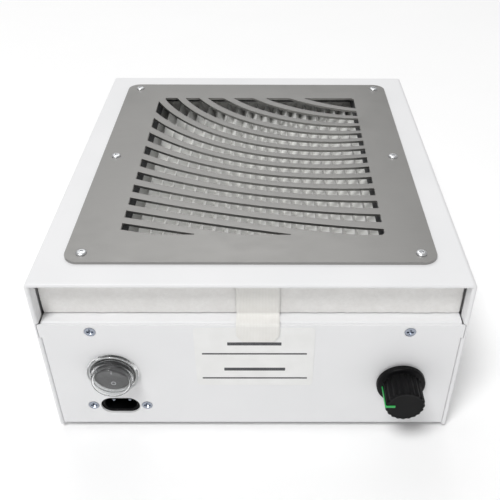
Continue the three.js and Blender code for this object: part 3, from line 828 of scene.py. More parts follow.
# Glass-fibre circuit board under green solder mask: the weave shows through as a faint 0.9 mm check.
SOLDER_MASK = Finish(
    "solder_mask_green", "#2A6A3B", "#3B7F4A", 0.35, ior=1.55,
    grains=(
        Grain(0.9, height=0.01, tint=0.5, pattern=Pattern.THREADS, direction="X"),
        Grain(0.9, height=0.01, tint=0.4, pattern=Pattern.THREADS, direction="Y"),
    ),
)
# Enamelled copper wire, wound: 0.8 mm turns side by side, glossy lacquer over metal.
COPPER_WINDING = Finish(
    "copper_wire_wound", "#A9622F", "#6E3B1C", 0.3, metallic=1.0,
    grains=(Grain(0.8, height=0.25, tint=0.6, pattern=Pattern.THREADS, direction="Z"), Grain(3, tint=0.3)),
)
# Polyester film capacitor, dipped in ochre epoxy: smooth and glossy with slight sags.
DIPPED_EPOXY = Finish(
    "epoxy_dipped", "#C08A2E", "#A87622", 0.25, ior=1.55, grains=(Grain(6, height=0.08, tint=0.5),)
)
# Extruded PVC lead insulation, red and blue: satin, with faint draw lines.
RED_PVC = Finish(
    "pvc_lead_red", "#A5262B", "#8C1D22", 0.42, ior=1.53,
    grains=(Grain(2, tint=0.4, rough=0.06), Grain(0.4, height=0.006)),
)
BLUE_PVC = replace(RED_PVC, name="pvc_lead_blue", colour="#2A4C9A", second="#213F83")
# Painted studio board, matt and almost white.
FLOOR_BOARD = Finish("studio_floor", "#FFFFFF", "#FCFCFC", 0.9, grains=(Grain(120, tint=0.4),))


# ---------------------------------------------------------------- screws


class ScrewHead(Enum):
    """The heads used on the box."""

    BUTTON = "domed, hexagon socket"
    SUNK = "countersunk, cross recess"
    PAN = "domed, cross recess"


@dataclass(frozen=True)
class Screw:
    """An M3 screw: one grid of rings, round outside and turning into its drive's outline inside."""

    head: ScrewHead
    radius: float = 2.7
    dome: float = 1.55
    shank: float = 1.45
    length: float = 6.0
    sides: int = 96

    def drive(self) -> Array:
        """Radius of the drive's outline at each angle.

        A hexagon's is its apothem over the cosine of the angle from the middle of a side. A cross's is
        its arm length over the cosine of the angle from the arm, or its half width over the sine of it.

        Returns:
            One radius a side of the rings.
        """
        angle = np.arange(self.sides) * TURN / self.sides
        if self.head is ScrewHead.BUTTON:
            return 1.0 / np.cos(np.mod(angle, TURN / 6) - TURN / 12)
        arm, width = 1.75, 0.5
        off = np.abs(np.mod(angle + TURN / 8, TURN / 4) - TURN / 8)
        return np.minimum(arm / np.cos(off), width / np.maximum(np.sin(off), 1e-3))

    def shell(self, centre: Sequence[float], axis: Axis, sign: int = 1) -> Shell:
        """The screw, with its head on the side that sign points to.

        Args:
            centre: u, v and depth of the middle of its seat.
            axis: The axis that it is driven along.
            sign: 1 if the head is towards greater depth.

        Returns:
            The closed screw.
        """
        plain = np.ones(self.sides)
        drive = self.drive()
        rings = [(0 * plain, -self.length), (self.shank * plain, -self.length)]
        if self.head is ScrewHead.SUNK:
            top = 0.0
            rings += [(self.shank * plain, -1.15), (self.radius * plain, -0.12)]
            rings += [(self.radius * plain, -0.05), ((self.radius - 0.12) * plain, 0.0), (2.0 * plain, 0.0)]
        else:
            top = self.dome
            rings += [(self.shank * plain, 0.02), ((self.radius - 0.08) * plain, 0.02)]
            rim, inner = 0.12, 1.25  # height of the head's straight edge, and radius of its flat top
            rings.append((self.radius * plain, rim))
            for angle in np.linspace(0.12, math.pi / 2, 9):
                r = inner + (self.radius - inner) * math.cos(angle)
                rings.append((np.maximum(r, 0.1) * plain, rim + (top - rim) * math.sin(angle)))
        depth, taper = (1.0, 0.94) if self.head is ScrewHead.BUTTON else (1.15, 0.62)
        widest = 2.0 if self.head is ScrewHead.SUNK else 1.22
        fits = np.minimum(drive, widest * plain)
        rings += [(fits, top - 0.02), (fits * 0.97, top - 0.12)]
        rings += [(fits * taper, top - depth), (0 * plain, top - depth - 0.2)]
        radii = np.stack([ring[0] for ring in rings])
        heights = np.array([ring[1] for ring in rings])
        return turned(radii, sign * heights, centre, axis)


# ---------------------------------------------------------------- casing


@dataclass
class Casing:
    """Cover, tray, shelf, feet, label and the screws that hold them."""

    bench: Bench
    sheet: float = 1.2
    bend: float = 2.4
    tray_bend: float = 1.35
    hem: float = 7.0
    hem_radius: float = 1.2
    notch: tuple[float, float] = (67.0, 75.9)  # z of the gap in the front hem that takes a panel ear
    play: float = 0.3
    panel_top: float = 75.2
    exhaust_pitch: float = 10.0
    exhaust_count: int = 13
    exhaust: tuple[float, float, float] = (4.0, 14.0, 54.0)  # a slot's width, and z of its two ends
    label_radius: float = 2.0
    opening: tuple[float, float, float] = (69.1, 34.4, 200.8)  # half width, front and back
    ear_slot: tuple[float, float] = (100.3, 102.8)  # where the front hem is cut away in x
    switch_hole: float = 10.6
    shaft_hole: float = 3.8
    inlet_hole: tuple[float, float] = (20.4, 11.6)
    fan_hole: float = 56.0
    flange: float = 20.0  # height of the tray's side lips
    shelf_bend: float = 1.8

    def build(self) -> None:
        """Makes every piece of the casing."""
        self.cover()
        self.tray()
        self.shelf()
        self.feet()
        self.label()
        self.screws()

    def cover(self) -> None:
        """The cover: a U section in x and z, carried round the sheet's own closed profile in y and inset.

        A point is U(b, inset), y. U runs up the right side, round its bend of radius bend - inset, across
        the top and down the left. The profile runs along the outer face, round the folded hem's half
        circle, back along its inner face, down the step where it ends, and on to the other hem.
        """
        low, high = self.bench.box("top_cover")
        depth, fold = high[1], self.hem_radius
        arc = np.linspace(0, math.pi, 13)
        front = np.stack([low[1] + fold - fold * np.sin(arc), fold - fold * np.cos(arc)], axis=1)
        back = np.stack([depth - fold + fold * np.sin(arc), fold + fold * np.cos(arc)], axis=1)
        step = 0.15
        inside = np.array([
            (self.hem - step, 2 * self.sheet), (self.hem, 2 * self.sheet - step), (self.hem, self.sheet),
            (depth - self.hem, self.sheet), (depth - self.hem, 2 * self.sheet - step),
            (depth - self.hem + step, 2 * self.sheet),
        ])
        profile = np.concatenate([front, inside, back])
        inset = profile[:, 1]
        radius = np.maximum(self.bend - inset, 0.35)[:, None]
        outer, top = (high[0] - inset)[:, None], (high[2] - inset)[:, None]
        turn = np.linspace(0, math.pi / 2, 9)[None]
        right_x, right_z = outer - radius + radius * np.cos(turn), top - radius + radius * np.sin(turn)
        x = np.concatenate([outer, right_x, -right_x[:, ::-1], -outer], axis=1)
        foot = np.full_like(outer, low[2])
        z = np.concatenate([foot, right_z, right_z[:, ::-1], foot], axis=1)
        y = np.broadcast_to(profile[:, :1], x.shape)
        points = np.stack([x, y, z], axis=-1).transpose(1, 0, 2)
        obj = self.bench.raw("top_cover_finished", grid(points))
        wide, near, far = self.opening
        opening = cutter(rounded(-wide, wide, near, far, 1.5), Axis.UP, high[2] - 6, 12)
        ears = []
        for side in (-1, 1):
            left, right = sorted(side * edge for edge in self.ear_slot)
            ears.append(block((left, -1, self.notch[0]), (right, self.hem + 1, self.notch[1]), 0.05, 1))
        self.bench.combine(obj, [opening, *ears], "DIFFERENCE")
        self.bench.finish(obj, POWDER_COAT, "casing", "white_powder_coat", ["top_cover"])

    def tray(self) -> None:
        """The tray: front panel, floor and back panel are one bent section in y and z, carried across x."""
        low, high = self.bench.box("base_tray")
        ear = high[0]
        half = ear - self.sheet
        depth, bottom = high[1], low[2]
        section = channel((0, depth), bottom, (self.panel_top, high[2]), self.tray_bend, self.sheet, 8)
        obj = self.bench.raw(
            "base_tray_finished", plate([section], eased(2 * half, 0.2, 2), Axis.SIDE, -half)
        )
        step = self.notch[0] + self.play
        joined = []
        for side in (-1, 1):
            wing, lip = side * (ear - 3), side * (half - self.sheet / 2)
            reach = self.sheet / 2
            joined.append(block((wing - 3, 0, step), (wing + 3, self.sheet, self.panel_top), 0.12, 2))
            joined.append(block(
                (lip - reach, 1, bottom + 0.4), (lip + reach, depth - 1, bottom + self.flange), 0.1, 2))
        self.bench.combine(obj, joined, "UNION")
        inlet = self.bench.centre("socket_body")
        switch = self.bench.centre("switch_housing")
        knob = self.bench.centre("knob_shaft")
        holes = [
            cutter(circle(switch[0], switch[2], self.switch_hole, 64), Axis.BACK, -2, 8),
            cutter(circle(knob[0], knob[2], self.shaft_hole, 32), Axis.BACK, -2, 8),
            cutter(stadium(inlet[0], inlet[2], *self.inlet_hole, 16), Axis.BACK, -2, 8),
        ]
        sink = [(0, -1), (4.05, -1), (3.05, 0.0), (2.95, 0.1), (1.8, 1.12), (1.8, 2), (0, 2)]
        for kind in ("front_panel", "socket"):
            for side in ("left", "right"):
                at = self.bench.centre(f"{kind}_screw_{side}")
                holes.append(lathe(sink, (at[0], at[2], 0), Axis.BACK, 48))
        width, slot_low, slot_high = self.exhaust
        for i in range(self.exhaust_count):
            x = (i - (self.exhaust_count - 1) / 2) * self.exhaust_pitch
            slot = stadium(x, (slot_low + slot_high) / 2, width, slot_high - slot_low, 10)
            holes.append(cutter(slot, Axis.BACK, depth - 3, 6))
        self.bench.combine(obj, holes, "DIFFERENCE")
        self.bench.finish(obj, POWDER_COAT, "casing", "white_powder_coat", ["base_tray"])

    def shelf(self) -> None:
        """The ledge that the filter slides on: a bent section in y and z, with the fan's inlet cut out."""
        low, high = self.bench.box("filter_shelf")
        section = channel((low[1], high[1]), high[2], (low[2], low[2]), self.shelf_bend, self.sheet)
        obj = self.bench.raw(
            "filter_shelf_finished", plate([section], eased(high[0] - low[0], 0.15), Axis.SIDE, low[0])
        )
        fan = self.bench.centre("inlet_ring")
        hole = cutter(circle(fan[0], fan[1], self.fan_hole, 96), Axis.UP, high[2] - 3, 6)
        self.bench.combine(obj, [hole], "DIFFERENCE")
        self.bench.finish(obj, POWDER_COAT, "casing", "white_powder_coat", ["filter_shelf"])

    def feet(self) -> None:
        """Four turned rubber feet with a dished underside."""
        for name in ("foot_left_front", "foot_left_back", "foot_right_front", "foot_right_back"):
            low, high = self.bench.box(name)
            middle, radius = (low + high) / 2, (high[0] - low[0]) / 2
            profile = [(0, 0.8), (3, 0.7), (5.2, 0.1), (6, 0), (radius - 0.6, 0.1), (radius - 0.15, 0.4)]
            profile += [(radius, 1), (radius - 0.1, high[2] - 0.15), (radius - 0.3, high[2]), (0, high[2])]
            shell = lathe(profile, (middle[0], middle[1], 0), Axis.UP, 48)
            self.bench.make(f"{name}_finished", shell, FOOT_RUBBER, "casing", "foot_rubber", [name])

    def label(self) -> None:
        """The blank rating label, with plain bars where printing would be."""
        low, high = self.bench.box("rating_label")
        outline = rounded(low[0], high[0], low[2], high[2], self.label_radius, 8)
        film = plate([outline], eased(high[1] - low[1], 0.06, 2), Axis.BACK, low[1])
        self.bench.make("rating_label_finished", film, LABEL_FILM, "casing", "label_film", ["rating_label"])
        middle, width = (low[0] + high[0]) / 2, high[0] - low[0]
        rows = [(63.4, 2.1, 0.45), (56.6, 1.0, 0.88), (45.8, 2.1, 0.52), (39.4, 1.0, 0.9)]
        bars = []
        for z, tall, share in rows:
            reach = width * share / 2
            outline = rounded(middle - reach, middle + reach, z - tall / 2, z + tall / 2, 0.2, 2)
            bars.append(plate([outline], eased(0.03, 0.005, 1), Axis.BACK, low[1] - 0.02))
        self.bench.make("rating_print", Shell.joined(bars), LABEL_PRINT, "casing", "label_film")

    def screws(self) -> None:
        """The casing's screws, each in place of its CAD node."""
        sunk, button, pan = Screw(ScrewHead.SUNK), Screw(ScrewHead.BUTTON, dome=1.08), Screw(ScrewHead.PAN)
        rise = {ScrewHead.SUNK: 0.0, ScrewHead.BUTTON: 1.1, ScrewHead.PAN: 1.6}
        jobs = []
        for side in ("left", "right"):
            jobs.append((f"front_panel_screw_{side}", sunk, Axis.BACK, -1))
            jobs.append((f"socket_screw_{side}", sunk, Axis.BACK, -1))
            jobs.append((f"back_panel_screw_{side}", pan, Axis.BACK, 1))
            for end in ("front", "back"):
                jobs.append((f"side_screw_{side}_{end}", pan, Axis.SIDE, -1 if side == "left" else 1))
        jobs += [(f"grille_screw_{i}", button, Axis.UP, 1) for i in range(1, 7)]
        for name, screw, axis, sign in jobs:
            low, high = self.bench.box(name)
            u, v, along = (np.array(axis.value) @ np.array([0, 1, 2])).astype(int)
            middle = (low + high) / 2
            head = rise[screw.head]
            seat = (high[along] - head) if sign > 0 else (low[along] + head)
            length = (high - low)[along] - head
            shell = replace(screw, length=length).shell((middle[u], middle[v], seat), axis, sign)
            finish = CLEAR_ZINC if screw.head is ScrewHead.BUTTON else ZINC_PLATE
            self.bench.make(f"{name}_finished", shell, finish, "casing", "zinc_steel", [name])


@dataclass
class Grille:
    """The stainless plate with its curved slots."""

    bench: Bench
    corner: float = 7.5
    window_corner: float = 1.5
    window: tuple[float, float, float] = (66.1, 37.4, 197.8)  # half width, front and back
    slots: tuple[int, int] = (-1, 14)  # number of the first and the last slot
    open_share: float = 0.66  # how much of the pitch is open at slot 0
    open_change: float = -0.01  # and how that changes from slot to slot
    least: float = 0.35  # opening below which a slot ends
    screw_hole: float = 1.9
    columns: int = 97
    edge: float = 0.16

    @staticmethod
    def line(k: float, distance: Array) -> Array:
        """Where slot line k runs: an arc of a circle, at distances d from the window's right side.

        y = start + (sqrt(1 - tilt^2) - sqrt(1 - (tilt + curvature d)^2)) / curvature, where tilt is the
        sine of the line's angle at the right side. All three are smooth in k, so the lines fan out evenly.

        Args:
            k: Number of the line, which needn't be whole.
            distance: Distances from the right side, in mm.

        Returns:
            y of the line at each distance.
        """
        v = (k - 7) / 7
        start = 105.1 - 79.1 * v - 14.2 * v**2 - 1.5 * v**3 + 6.6 * v**4
        tilt = -0.159 + 0.229 * v + 0.357 * v**2 - 0.23 * v**3
        curvature = (6.48 - 6.77 * v - 1.61 * v**2 + 2.31 * v**3) / 1000
        reached = np.minimum(tilt + curvature * distance, 0.98)
        return start + (math.sqrt(1 - tilt**2) - np.sqrt(1 - reached**2)) / curvature

    def slot(self, k: int) -> Array | None:
        """One slot's outline, between two lines and inside the window's rounded corners.

        Args:
            k: Number of the slot.

        Returns:
            The outline, or None where the slot misses the window.
        """
        half, front, back = self.window
        distance = np.linspace(0, 2 * half, self.columns)
        x = half - distance
        past = np.maximum(np.abs(x) - (half - self.window_corner), 0)
        rise = self.window_corner - np.sqrt(np.maximum(self.window_corner**2 - past**2, 0))
        top = self.line(k, distance) if k > self.slots[0] else np.full_like(x, back + 5)
        low = self.line(k + self.open_share + self.open_change * k, distance)
        top, low = np.clip(top, front + rise, back - rise), np.clip(low, front + rise, back - rise)
        open_ = top - low > self.least
        if open_.sum() < 3:
            return None
        return np.concatenate([
            np.stack([x[open_], top[open_]], axis=1), np.stack([x[open_], low[open_]], axis=1)[::-1]])

    def build(self) -> None:
        """Makes the plate."""
        low, high = self.bench.box("grille_plate")
        outline = rounded(low[0], high[0], low[1], high[1], self.corner, 12)
        slots = [slot for k in range(self.slots[0], self.slots[1] + 1) if (slot := self.slot(k)) is not None]
        screws = [self.bench.centre(f"grille_screw_{i}")[:2] for i in range(1, 7)]
        holes = [circle(*at, self.screw_hole, 24) for at in screws]
        thick = high[2] - low[2]
        shell = plate([outline, *slots, *holes], eased(thick, self.edge, 2), Axis.UP, low[2])
        self.bench.make(
            "grille_plate_finished", shell, ROLLED_STAINLESS, "casing", "grille_steel", ["grille_plate"])


# ---------------------------------------------------------------- filter


@dataclass
class FilterCartridge:
    """The slide-out filter and the foam seal that it closes against."""

    bench: Bench
    core: tuple[float, float, float] = (88.0, 20.3, 220.0)
    pitch: float = 6.8
    folds: int = 25
    rise: float = 1.8  # the paper's height where it is cut upright
    tab_thickness: float = 0.6
    tab_chamfer: tuple[float, float] = (2.6, 4.1)
    seal_bars: tuple[float, float] = (11.6, 6.0)

    def build(self) -> None:
        """Makes every piece of the cartridge."""
        self.frame()
        self.face()
        self.pleats()
        self.tab()
        self.seal()

    def frame(self) -> None:
        """The felt frame round the pleats."""
        low, high = self.bench.box("filter_frame")
        half, front, back = self.core
        loops = [rounded(low[0], high[0], low[1], high[1], 1.5), rounded(-half, half, front, back, 2.5)]
        shell = plate(loops, eased(high[2] - low[2], 0.8, 3), Axis.UP, low[2])
        self.bench.make(
            "filter_frame_finished", shell, NEEDLED_FELT, "filter", "filter_felt", ["filter_frame"])

    def face(self) -> None:
        """The thick felt strip at the front: a rounded bar whose front face swells and dips softly."""
        low, high = self.bench.box("filter_face")
        shell = block(low, high, 0.9, 4, 150)
        section_rows = shell.points.reshape(-1, 20, 3)
        fine = self.denser(section_rows, 3)
        middle = (low + high) / 2
        inside = np.clip((middle[1] - fine[..., 1]) / (middle[1] - low[1]), 0, 1)
        relief = 0.22 * ripple(fine, 9, 3) + 0.2 * ripple(fine, 3.2, 4)
        fine[..., 1] += inside * (0.3 + relief)
        self.bench.make(
            "filter_face_finished", grid(fine), NEEDLED_FELT, "filter", "filter_felt", ["filter_face"])

    @staticmethod
    def denser(rows: Array, times: int) -> Array:
        """Rows of closed loops with the flat sides divided: each gap gets more points where it is wide.

        Args:
            rows: Rows by points by 3.
            times: Doublings of the points in a row.

        Returns:
            The finer rows.
        """
        for _ in range(times):
            between = (rows + np.roll(rows, -1, axis=1)) / 2
            rows = np.stack([rows, between], axis=2).reshape(rows.shape[0], -1, 3)
        return rows

    def pleats(self) -> None:
        """The paper: a zigzag with rounded folds, carried front to back, each fold swaying a little.

        The height is a triangle wave of x with its corners eased, and the paper is one thickness deep.
        """
        half, front, back = self.core
        low, high = self.bench.box("filter_pleats")
        across = np.linspace(low[0], high[0], self.folds * 14 + 1)
        along = np.linspace(front + 0.3, back - 0.3, 48)
        phase = (across - low[0]) / self.pitch
        wave = 2 / math.pi * np.arcsin(0.997 * np.sin(TURN * (phase - 0.25)))
        share = (wave / np.abs(wave).max() + 1) / 2
        upper = low[2] + self.rise + share * (high[2] - low[2] - self.rise)
        lower = np.maximum(upper - self.rise, low[2])
        section = np.concatenate([
            np.stack([across, upper], axis=1), np.stack([across, lower], axis=1)[::-1]])
        x = np.broadcast_to(section[:, 0], (len(along), len(section))).copy()
        z = np.broadcast_to(section[:, 1], x.shape).copy()
        y = np.broadcast_to(along[:, None], x.shape)
        spot = np.stack([x, y, 0 * x], axis=-1)
        fade = np.clip((half - 4 - np.abs(x)) / 6, 0, 1)
        x += fade * 0.35 * ripple(spot * np.array([1, 0.4, 1]), 22, 7)
        z -= 0.25 * (1 + ripple(spot, 30, 8)) * (z - low[2]) / (high[2] - low[2])
        paper = grid(np.stack([x, y, z], axis=-1))
        self.bench.make(
            "filter_pleats_finished", paper, FILTER_PAPER, "filter", "filter_paper", ["filter_pleats"])

    def tab(self) -> None:
        """The pull tab: a tape's thin section carried down the felt, over the ledge and down the panel."""
        low, high = self.bench.box("pull_tab")
        t = self.tab_thickness
        inner, outer = high[1] - t / 2, low[1] + t / 2
        ledge = self.bench.box("filter_face")[0][2] + t / 2
        path = bent([
            (inner, high[2] - 0.3, 0), (inner, ledge, 1.1), (outer, ledge, 0.9), (outer, low[2], 0)], 8)
        gap = np.concatenate([[0], np.cumsum(np.linalg.norm(np.diff(path, axis=0), axis=1))])
        length = gap[-1]
        cut, rise = self.tab_chamfer
        at = np.unique(np.concatenate([np.linspace(0, length, 90), [length - rise]]))
        y, z = np.interp(at, gap, path[:, 0]), np.interp(at, gap, path[:, 1])
        dy, dz = np.gradient(y, at), np.gradient(z, at)
        size = np.hypot(dy, dz)
        ny, nz = dz / size, -dy / size
        narrow = cut * np.clip((at - (length - rise)) / rise, 0, 1)
        across = np.linspace(0, 1, 25)
        thick = t / 2 * np.minimum(1, 0.45 + 8 * np.minimum(across, 1 - across))
        thick = thick * (1 - 0.12 * np.cos(TURN * np.clip(np.minimum(across, 1 - across) / 0.08, 0, 1)))
        thick = np.minimum(thick, t / 2)
        left, right = low[0] + narrow, high[0] - narrow
        x = left[:, None] + (right - left)[:, None] * across[None]
        over, under = (
            np.stack([x, y[:, None] + s * ny[:, None] * thick, z[:, None] + s * nz[:, None] * thick], axis=-1)
            for s in (1, -1)
        )
        rows = np.concatenate([over, under[:, ::-1]], axis=1)
        obj = self.bench.make(
            "pull_tab_finished", grid(rows), WOVEN_TAPE, "filter", "tab_fabric", ["pull_tab"])

    def seal(self) -> None:
        """The foam strip glued under the cover, round its opening."""
        low, high = self.bench.box("filter_seal")
        side, end = self.seal_bars
        well = rounded(low[0] + side, high[0] - side, low[1] + end, high[1] - end, 1.0)
        loops = [rounded(low[0], high[0], low[1], high[1], 1.0), well]
        shell = plate(loops, eased(high[2] - low[2], 0.7, 3), Axis.UP, low[2])
        obj = self.bench.make(
            "filter_seal_finished", shell, SEAL_FOAM, "casing", "seal_foam", ["filter_seal"])


# ---------------------------------------------------------------- controls


@dataclass
class PowerSwitch:
    """The round rocker switch under its clear splash cap."""

    bench: Bench
    radius: float = 8.4
    pivot: float = -1.0
    tilt: float = math.radians(8)
    face: float = -2.7
    back: float = 3.4
    middle: Array = field(init=False)

    def __post_init__(self) -> None:
        """Finds x and z of the switch's middle."""
        self.middle = self.bench.centre("switch_housing")[[0, 2]]

    def build(self) -> None:
        """Makes the switch's pieces."""
        u, v = self.middle
        well = [(0, 8), (8.6, 8), (9, 7.6), (9, -0.7)]
        rim = [(9.15, -1.15), (9.5, -1.3), (11.0, -1.3), (11.4, -1.1), (11.5, -0.7), (11.5, -0.03)]
        housing = [*well, *rim, (10.2, -0.03), (10.2, 20.4), (9.6, 21), (0, 21)]
        shell = lathe(housing, (u, v, 0), Axis.BACK, 96)
        self.bench.make(
            "switch_housing_finished", shell, BLACK_ABS, "casing", "black_abs", ["switch_housing"])
        self.cap(u, v)
        self.rocker()
        self.marks()

    def cap(self, u: float, v: float) -> None:
        """The cap: a stepped dome with a wall about 0.8 mm thick, turned about the switch's middle."""
        outer = bent([
            (0, -8, 0), (9.9, -8, 1.6), (9.9, -4, 0.35), (10.7, -4, 0.5), (10.7, -1.9, 0.35),
            (13, -1.9, 0.7), (13, -0.3, 0)], 5)
        inner = bent([
            (13, -0.3, 0), (11.8, -0.3, 0.1), (11.8, -1.5, 0.2), (9.9, -1.5, 0.3), (9.1, -3.9, 0.4),
            (9.1, -7.2, 0.9), (0, -7.2, 0)], 5)
        shell = lathe(np.concatenate([outer, inner[1:]]), (u, v, 0), Axis.BACK, 96)
        self.bench.make("switch_cap_finished", shell, CLEAR_PVC, "casing", "clear_cap", ["switch_cap"])

    def front(self, z: Array) -> Array:
        """Depth of the rocker's face at a height z from its middle: two slopes that meet in a soft crease."""
        slope = math.tan(self.tilt)
        return self.face - slope * (np.sqrt(z**2 + 0.5) - math.sqrt(0.5))

    def tipped(self, x: Array, depth: Array, z: Array) -> Array:
        """Points of the level rocker turned about its pivot to its off position.

        Args:
            x: Across, from the middle.
            depth: Back, from the panel's face.
            z: Up, from the middle.

        Returns:
            The points in the maker's axes.
        """
        level = depth - self.pivot
        turned_depth = level * math.cos(self.tilt) - z * math.sin(self.tilt)
        height = level * math.sin(self.tilt) + z * math.cos(self.tilt)
        x, turned_depth, height = np.broadcast_arrays(x, turned_depth, height)
        return np.stack([self.middle[0] + x, self.pivot + turned_depth, self.middle[1] + height], axis=-1)

    def rocker(self) -> None:
        """The rocker: a round button on polar rings, with a rounded rim."""
        angle = np.arange(96) * TURN / 96
        rim = np.linspace(0, math.pi / 2, 5)
        soft = 0.5  # radius of the rounding
        flat = np.concatenate([[0], np.linspace(1.2, self.radius - 0.9, 8)])
        radii = np.concatenate([flat, self.radius - soft + soft * np.sin(rim)])
        sink = np.concatenate([np.zeros(len(flat)), soft * (1 - np.cos(rim))])
        x, z = radii[:, None] * np.cos(angle), radii[:, None] * np.sin(angle)
        depth = self.front(z) + sink[:, None]
        side = self.radius * np.stack([np.cos(angle), np.sin(angle)])
        back = self.back - 2 * np.clip((np.abs(side[1]) - 3) / (self.radius - 3), 0, 1)
        x = np.concatenate([x, side[0][None], 0 * side[0][None]])
        z = np.concatenate([z, side[1][None], 0 * side[1][None]])
        depth = np.concatenate([depth, back[None], np.full((1, 96), self.back)])
        shell = grid(self.tipped(x, depth, z), caps=False)
        self.bench.make("switch_rocker_finished", shell, GREY_ABS, "rocker", "rocker_abs", ["switch_rocker"])

    def marks(self) -> None:
        """The line and the ring printed on the rocker, each a thin raised band that follows its face."""
        t = 0.05
        height = np.linspace(3.2, 5.4, 8)[:, None]
        width = np.array([-0.22, 0.22, 0.22, -0.22])[None]
        lift = np.array([-t, -t, t, t])[None]
        line = grid(self.tipped(width, self.front(height) + lift, height))
        angle = (np.arange(48) * TURN / 48)[:, None]
        radius = np.array([0.85, 1.25, 1.25, 0.85])[None]
        z = -4.4 + radius * np.sin(angle)
        ring = grid(self.tipped(radius * np.cos(angle), self.front(z) + lift, z), ring=True)
        self.bench.make("rocker_marks", Shell.joined([line, ring]), PAD_PRINT, "rocker", "rocker_abs")


@dataclass
class MainsInlet:
    """The figure-8 inlet."""

    bench: Bench
    flange: tuple[float, float, float] = (18.5, 7.5, 3.0)  # half width, half height and corner radius
    mouth: tuple[float, float, float] = (16.9, 8.3, 14.9)  # width, height and depth
    screw_hole: float = 1.9

    def build(self) -> None:
        """The body: stadium loops carried up its outside, over its rim and down into its mouth."""
        u, _, v = self.bench.centre("socket_body")
        loops = [(19.8, 11, 24), (19.8, 11, 1.65), (19.65, 10.85, 1.4), (19.2, 10.4, 1.3), (17.8, 9.2, 1.3)]
        loops += [(17.3, 8.7, 1.45), (17.0, 8.4, 1.9), (16.7, 8.1, 15.6), (16.3, 7.7, 16)]
        rows = np.stack([
            Axis.BACK.carry(*stadium(u, v, width, height, 16).T, np.array(depth))
            for width, height, depth in loops
        ])
        obj = self.bench.raw("socket_body_finished", grid(rows))
        wide, tall, corner = self.flange
        outline = rounded(u - wide, u + wide, v - tall, v + tall, corner)
        self.bench.combine(obj, [plate([outline], eased(2.5, 0.3), Axis.BACK, 1.5)], "UNION")
        width, height, depth = self.mouth
        tools = [cutter(stadium(u, v, width, height, 16), Axis.BACK, 1, depth)]
        for side in ("left", "right"):
            at = self.bench.centre(f"socket_screw_{side}")
            tools.append(cutter(circle(at[0], at[2], self.screw_hole, 24), Axis.BACK, 0, 6))
        self.bench.combine(obj, tools, "DIFFERENCE")
        self.bench.finish(obj, BLACK_ABS, "casing", "black_abs", ["socket_body"])
        for side in ("left", "right"):
            name = f"socket_pin_{side}"
            low, high = self.bench.box(name)
            r = (high[0] - low[0]) / 2
            long = high[1] - low[1]
            tip = [(r * math.sin(a), r * (1 - math.cos(a))) for a in np.linspace(0.25, math.pi / 2, 7)]
            profile = [(0, 0), *tip, (r, long - 0.2), (r - 0.2, long), (0, long)]
            middle = (low + high) / 2
            shell = lathe(profile, (middle[0], middle[2], low[1]), Axis.BACK, 32)
            self.bench.make(f"{name}_finished", shell, ZINC_PLATE, "casing", "zinc_steel", [name])


@dataclass
class SpeedControl:
    """The speed knob, its pointer and the control behind the panel."""

    bench: Bench
    flutes: int = 20
    grip: float = 9.85
    flute_depth: float = 0.3
    pointer: tuple[float, float, float] = (1.4, 1.1, 5.0)

    def build(self) -> None:
        """Makes the control's pieces."""
        low, high = self.bench.box("speed_knob")
        u, v = ((low + high) / 2)[[0, 2]]
        grip = self.grip
        bore = [(0, -14.5, 0), (3.3, -14.5, 0), (3.3, -6, 0), (7.6, -6, 0), (7.6, -1, 0)]
        skirt = [(12.1, -1, 0), (12.3, -1.2, 0), (12.3, -3.1, 0), (12.15, -3.6, 0), (11.8, -3.95, 0)]
        skirt += [(11.4, -4.05, 0), (10.5, -4.1, 0.2), (10.0, -4.3, 0.6)]
        side = [(grip, -4.8, 1), (grip, -10, 1), (grip, -16.2, 1), (grip - 0.1, -16.65, 1)]
        side += [(grip - 0.35, -16.95, 0.8), (grip - 0.75, -17.08, 0.5)]
        face = [(8.6, -17.1, 0), (8.2, -17.0, 0), (7.8, -16.95, 0), (4, -16.93, 0), (0, -16.93, 0)]
        table = np.array(bore + skirt + side + face, float)  # radius, depth and share of the fluting
        angle = np.arange(240) * TURN / 240
        wave = self.flute_depth * (np.cos(self.flutes * angle) - 1)
        radii = table[:, :1] + table[:, 2:] * wave[None]
        knob = self.bench.raw("speed_knob_finished", turned(radii, table[:, 1], (u, v, 0), Axis.BACK))
        insert = self.bar(u, v, 0.02)
        self.bench.combine(knob, insert, "DIFFERENCE")
        self.bench.finish(knob, BLACK_ABS, "knob", "black_abs", ["speed_knob"])
        pointer = self.bench.raw("knob_pointer_finished", self.bar(u, v, 0)[0])
        self.bench.finish(pointer, GREEN_ABS, "knob", "pointer_green", ["knob_pointer"])
        self.bench.refine(["knob_shaft"], ZINC_PLATE, "knob", "zinc_steel")
        self.bench.refine(["speed_control"], GALVANISED, "casing", "galvanised_steel")
        self.bench.refine(["control_nut"], ZINC_PLATE, "casing", "zinc_steel")

    def bar(self, u: float, v: float, spare: float) -> list[Shell]:
        """The pointer: an L in x and y, down the knob's side and across its face.

        Args:
            u: x of the knob's middle.
            v: z of the knob's middle.
            spare: How much larger it is all round, for the groove.

        Returns:
            One closed bar, in a list.
        """
        width, deep, long = self.pointer
        left, near = u - self.grip - 0.1 - spare, -17.2 - spare
        end, side = left + long + 2 * spare, left + deep + 2 * spare
        behind, foot = near + 0.7 + 2 * spare, -4.3
        corners = np.array([
            (left, near), (end, near), (end, behind), (side, behind), (side, foot), (left, foot)])
        edge = 0.01 if spare else 0.12
        return [plate([corners], eased(width + 2 * spare, edge, 2), Axis.UP, v - width / 2 - spare)]


# ---------------------------------------------------------------- inside


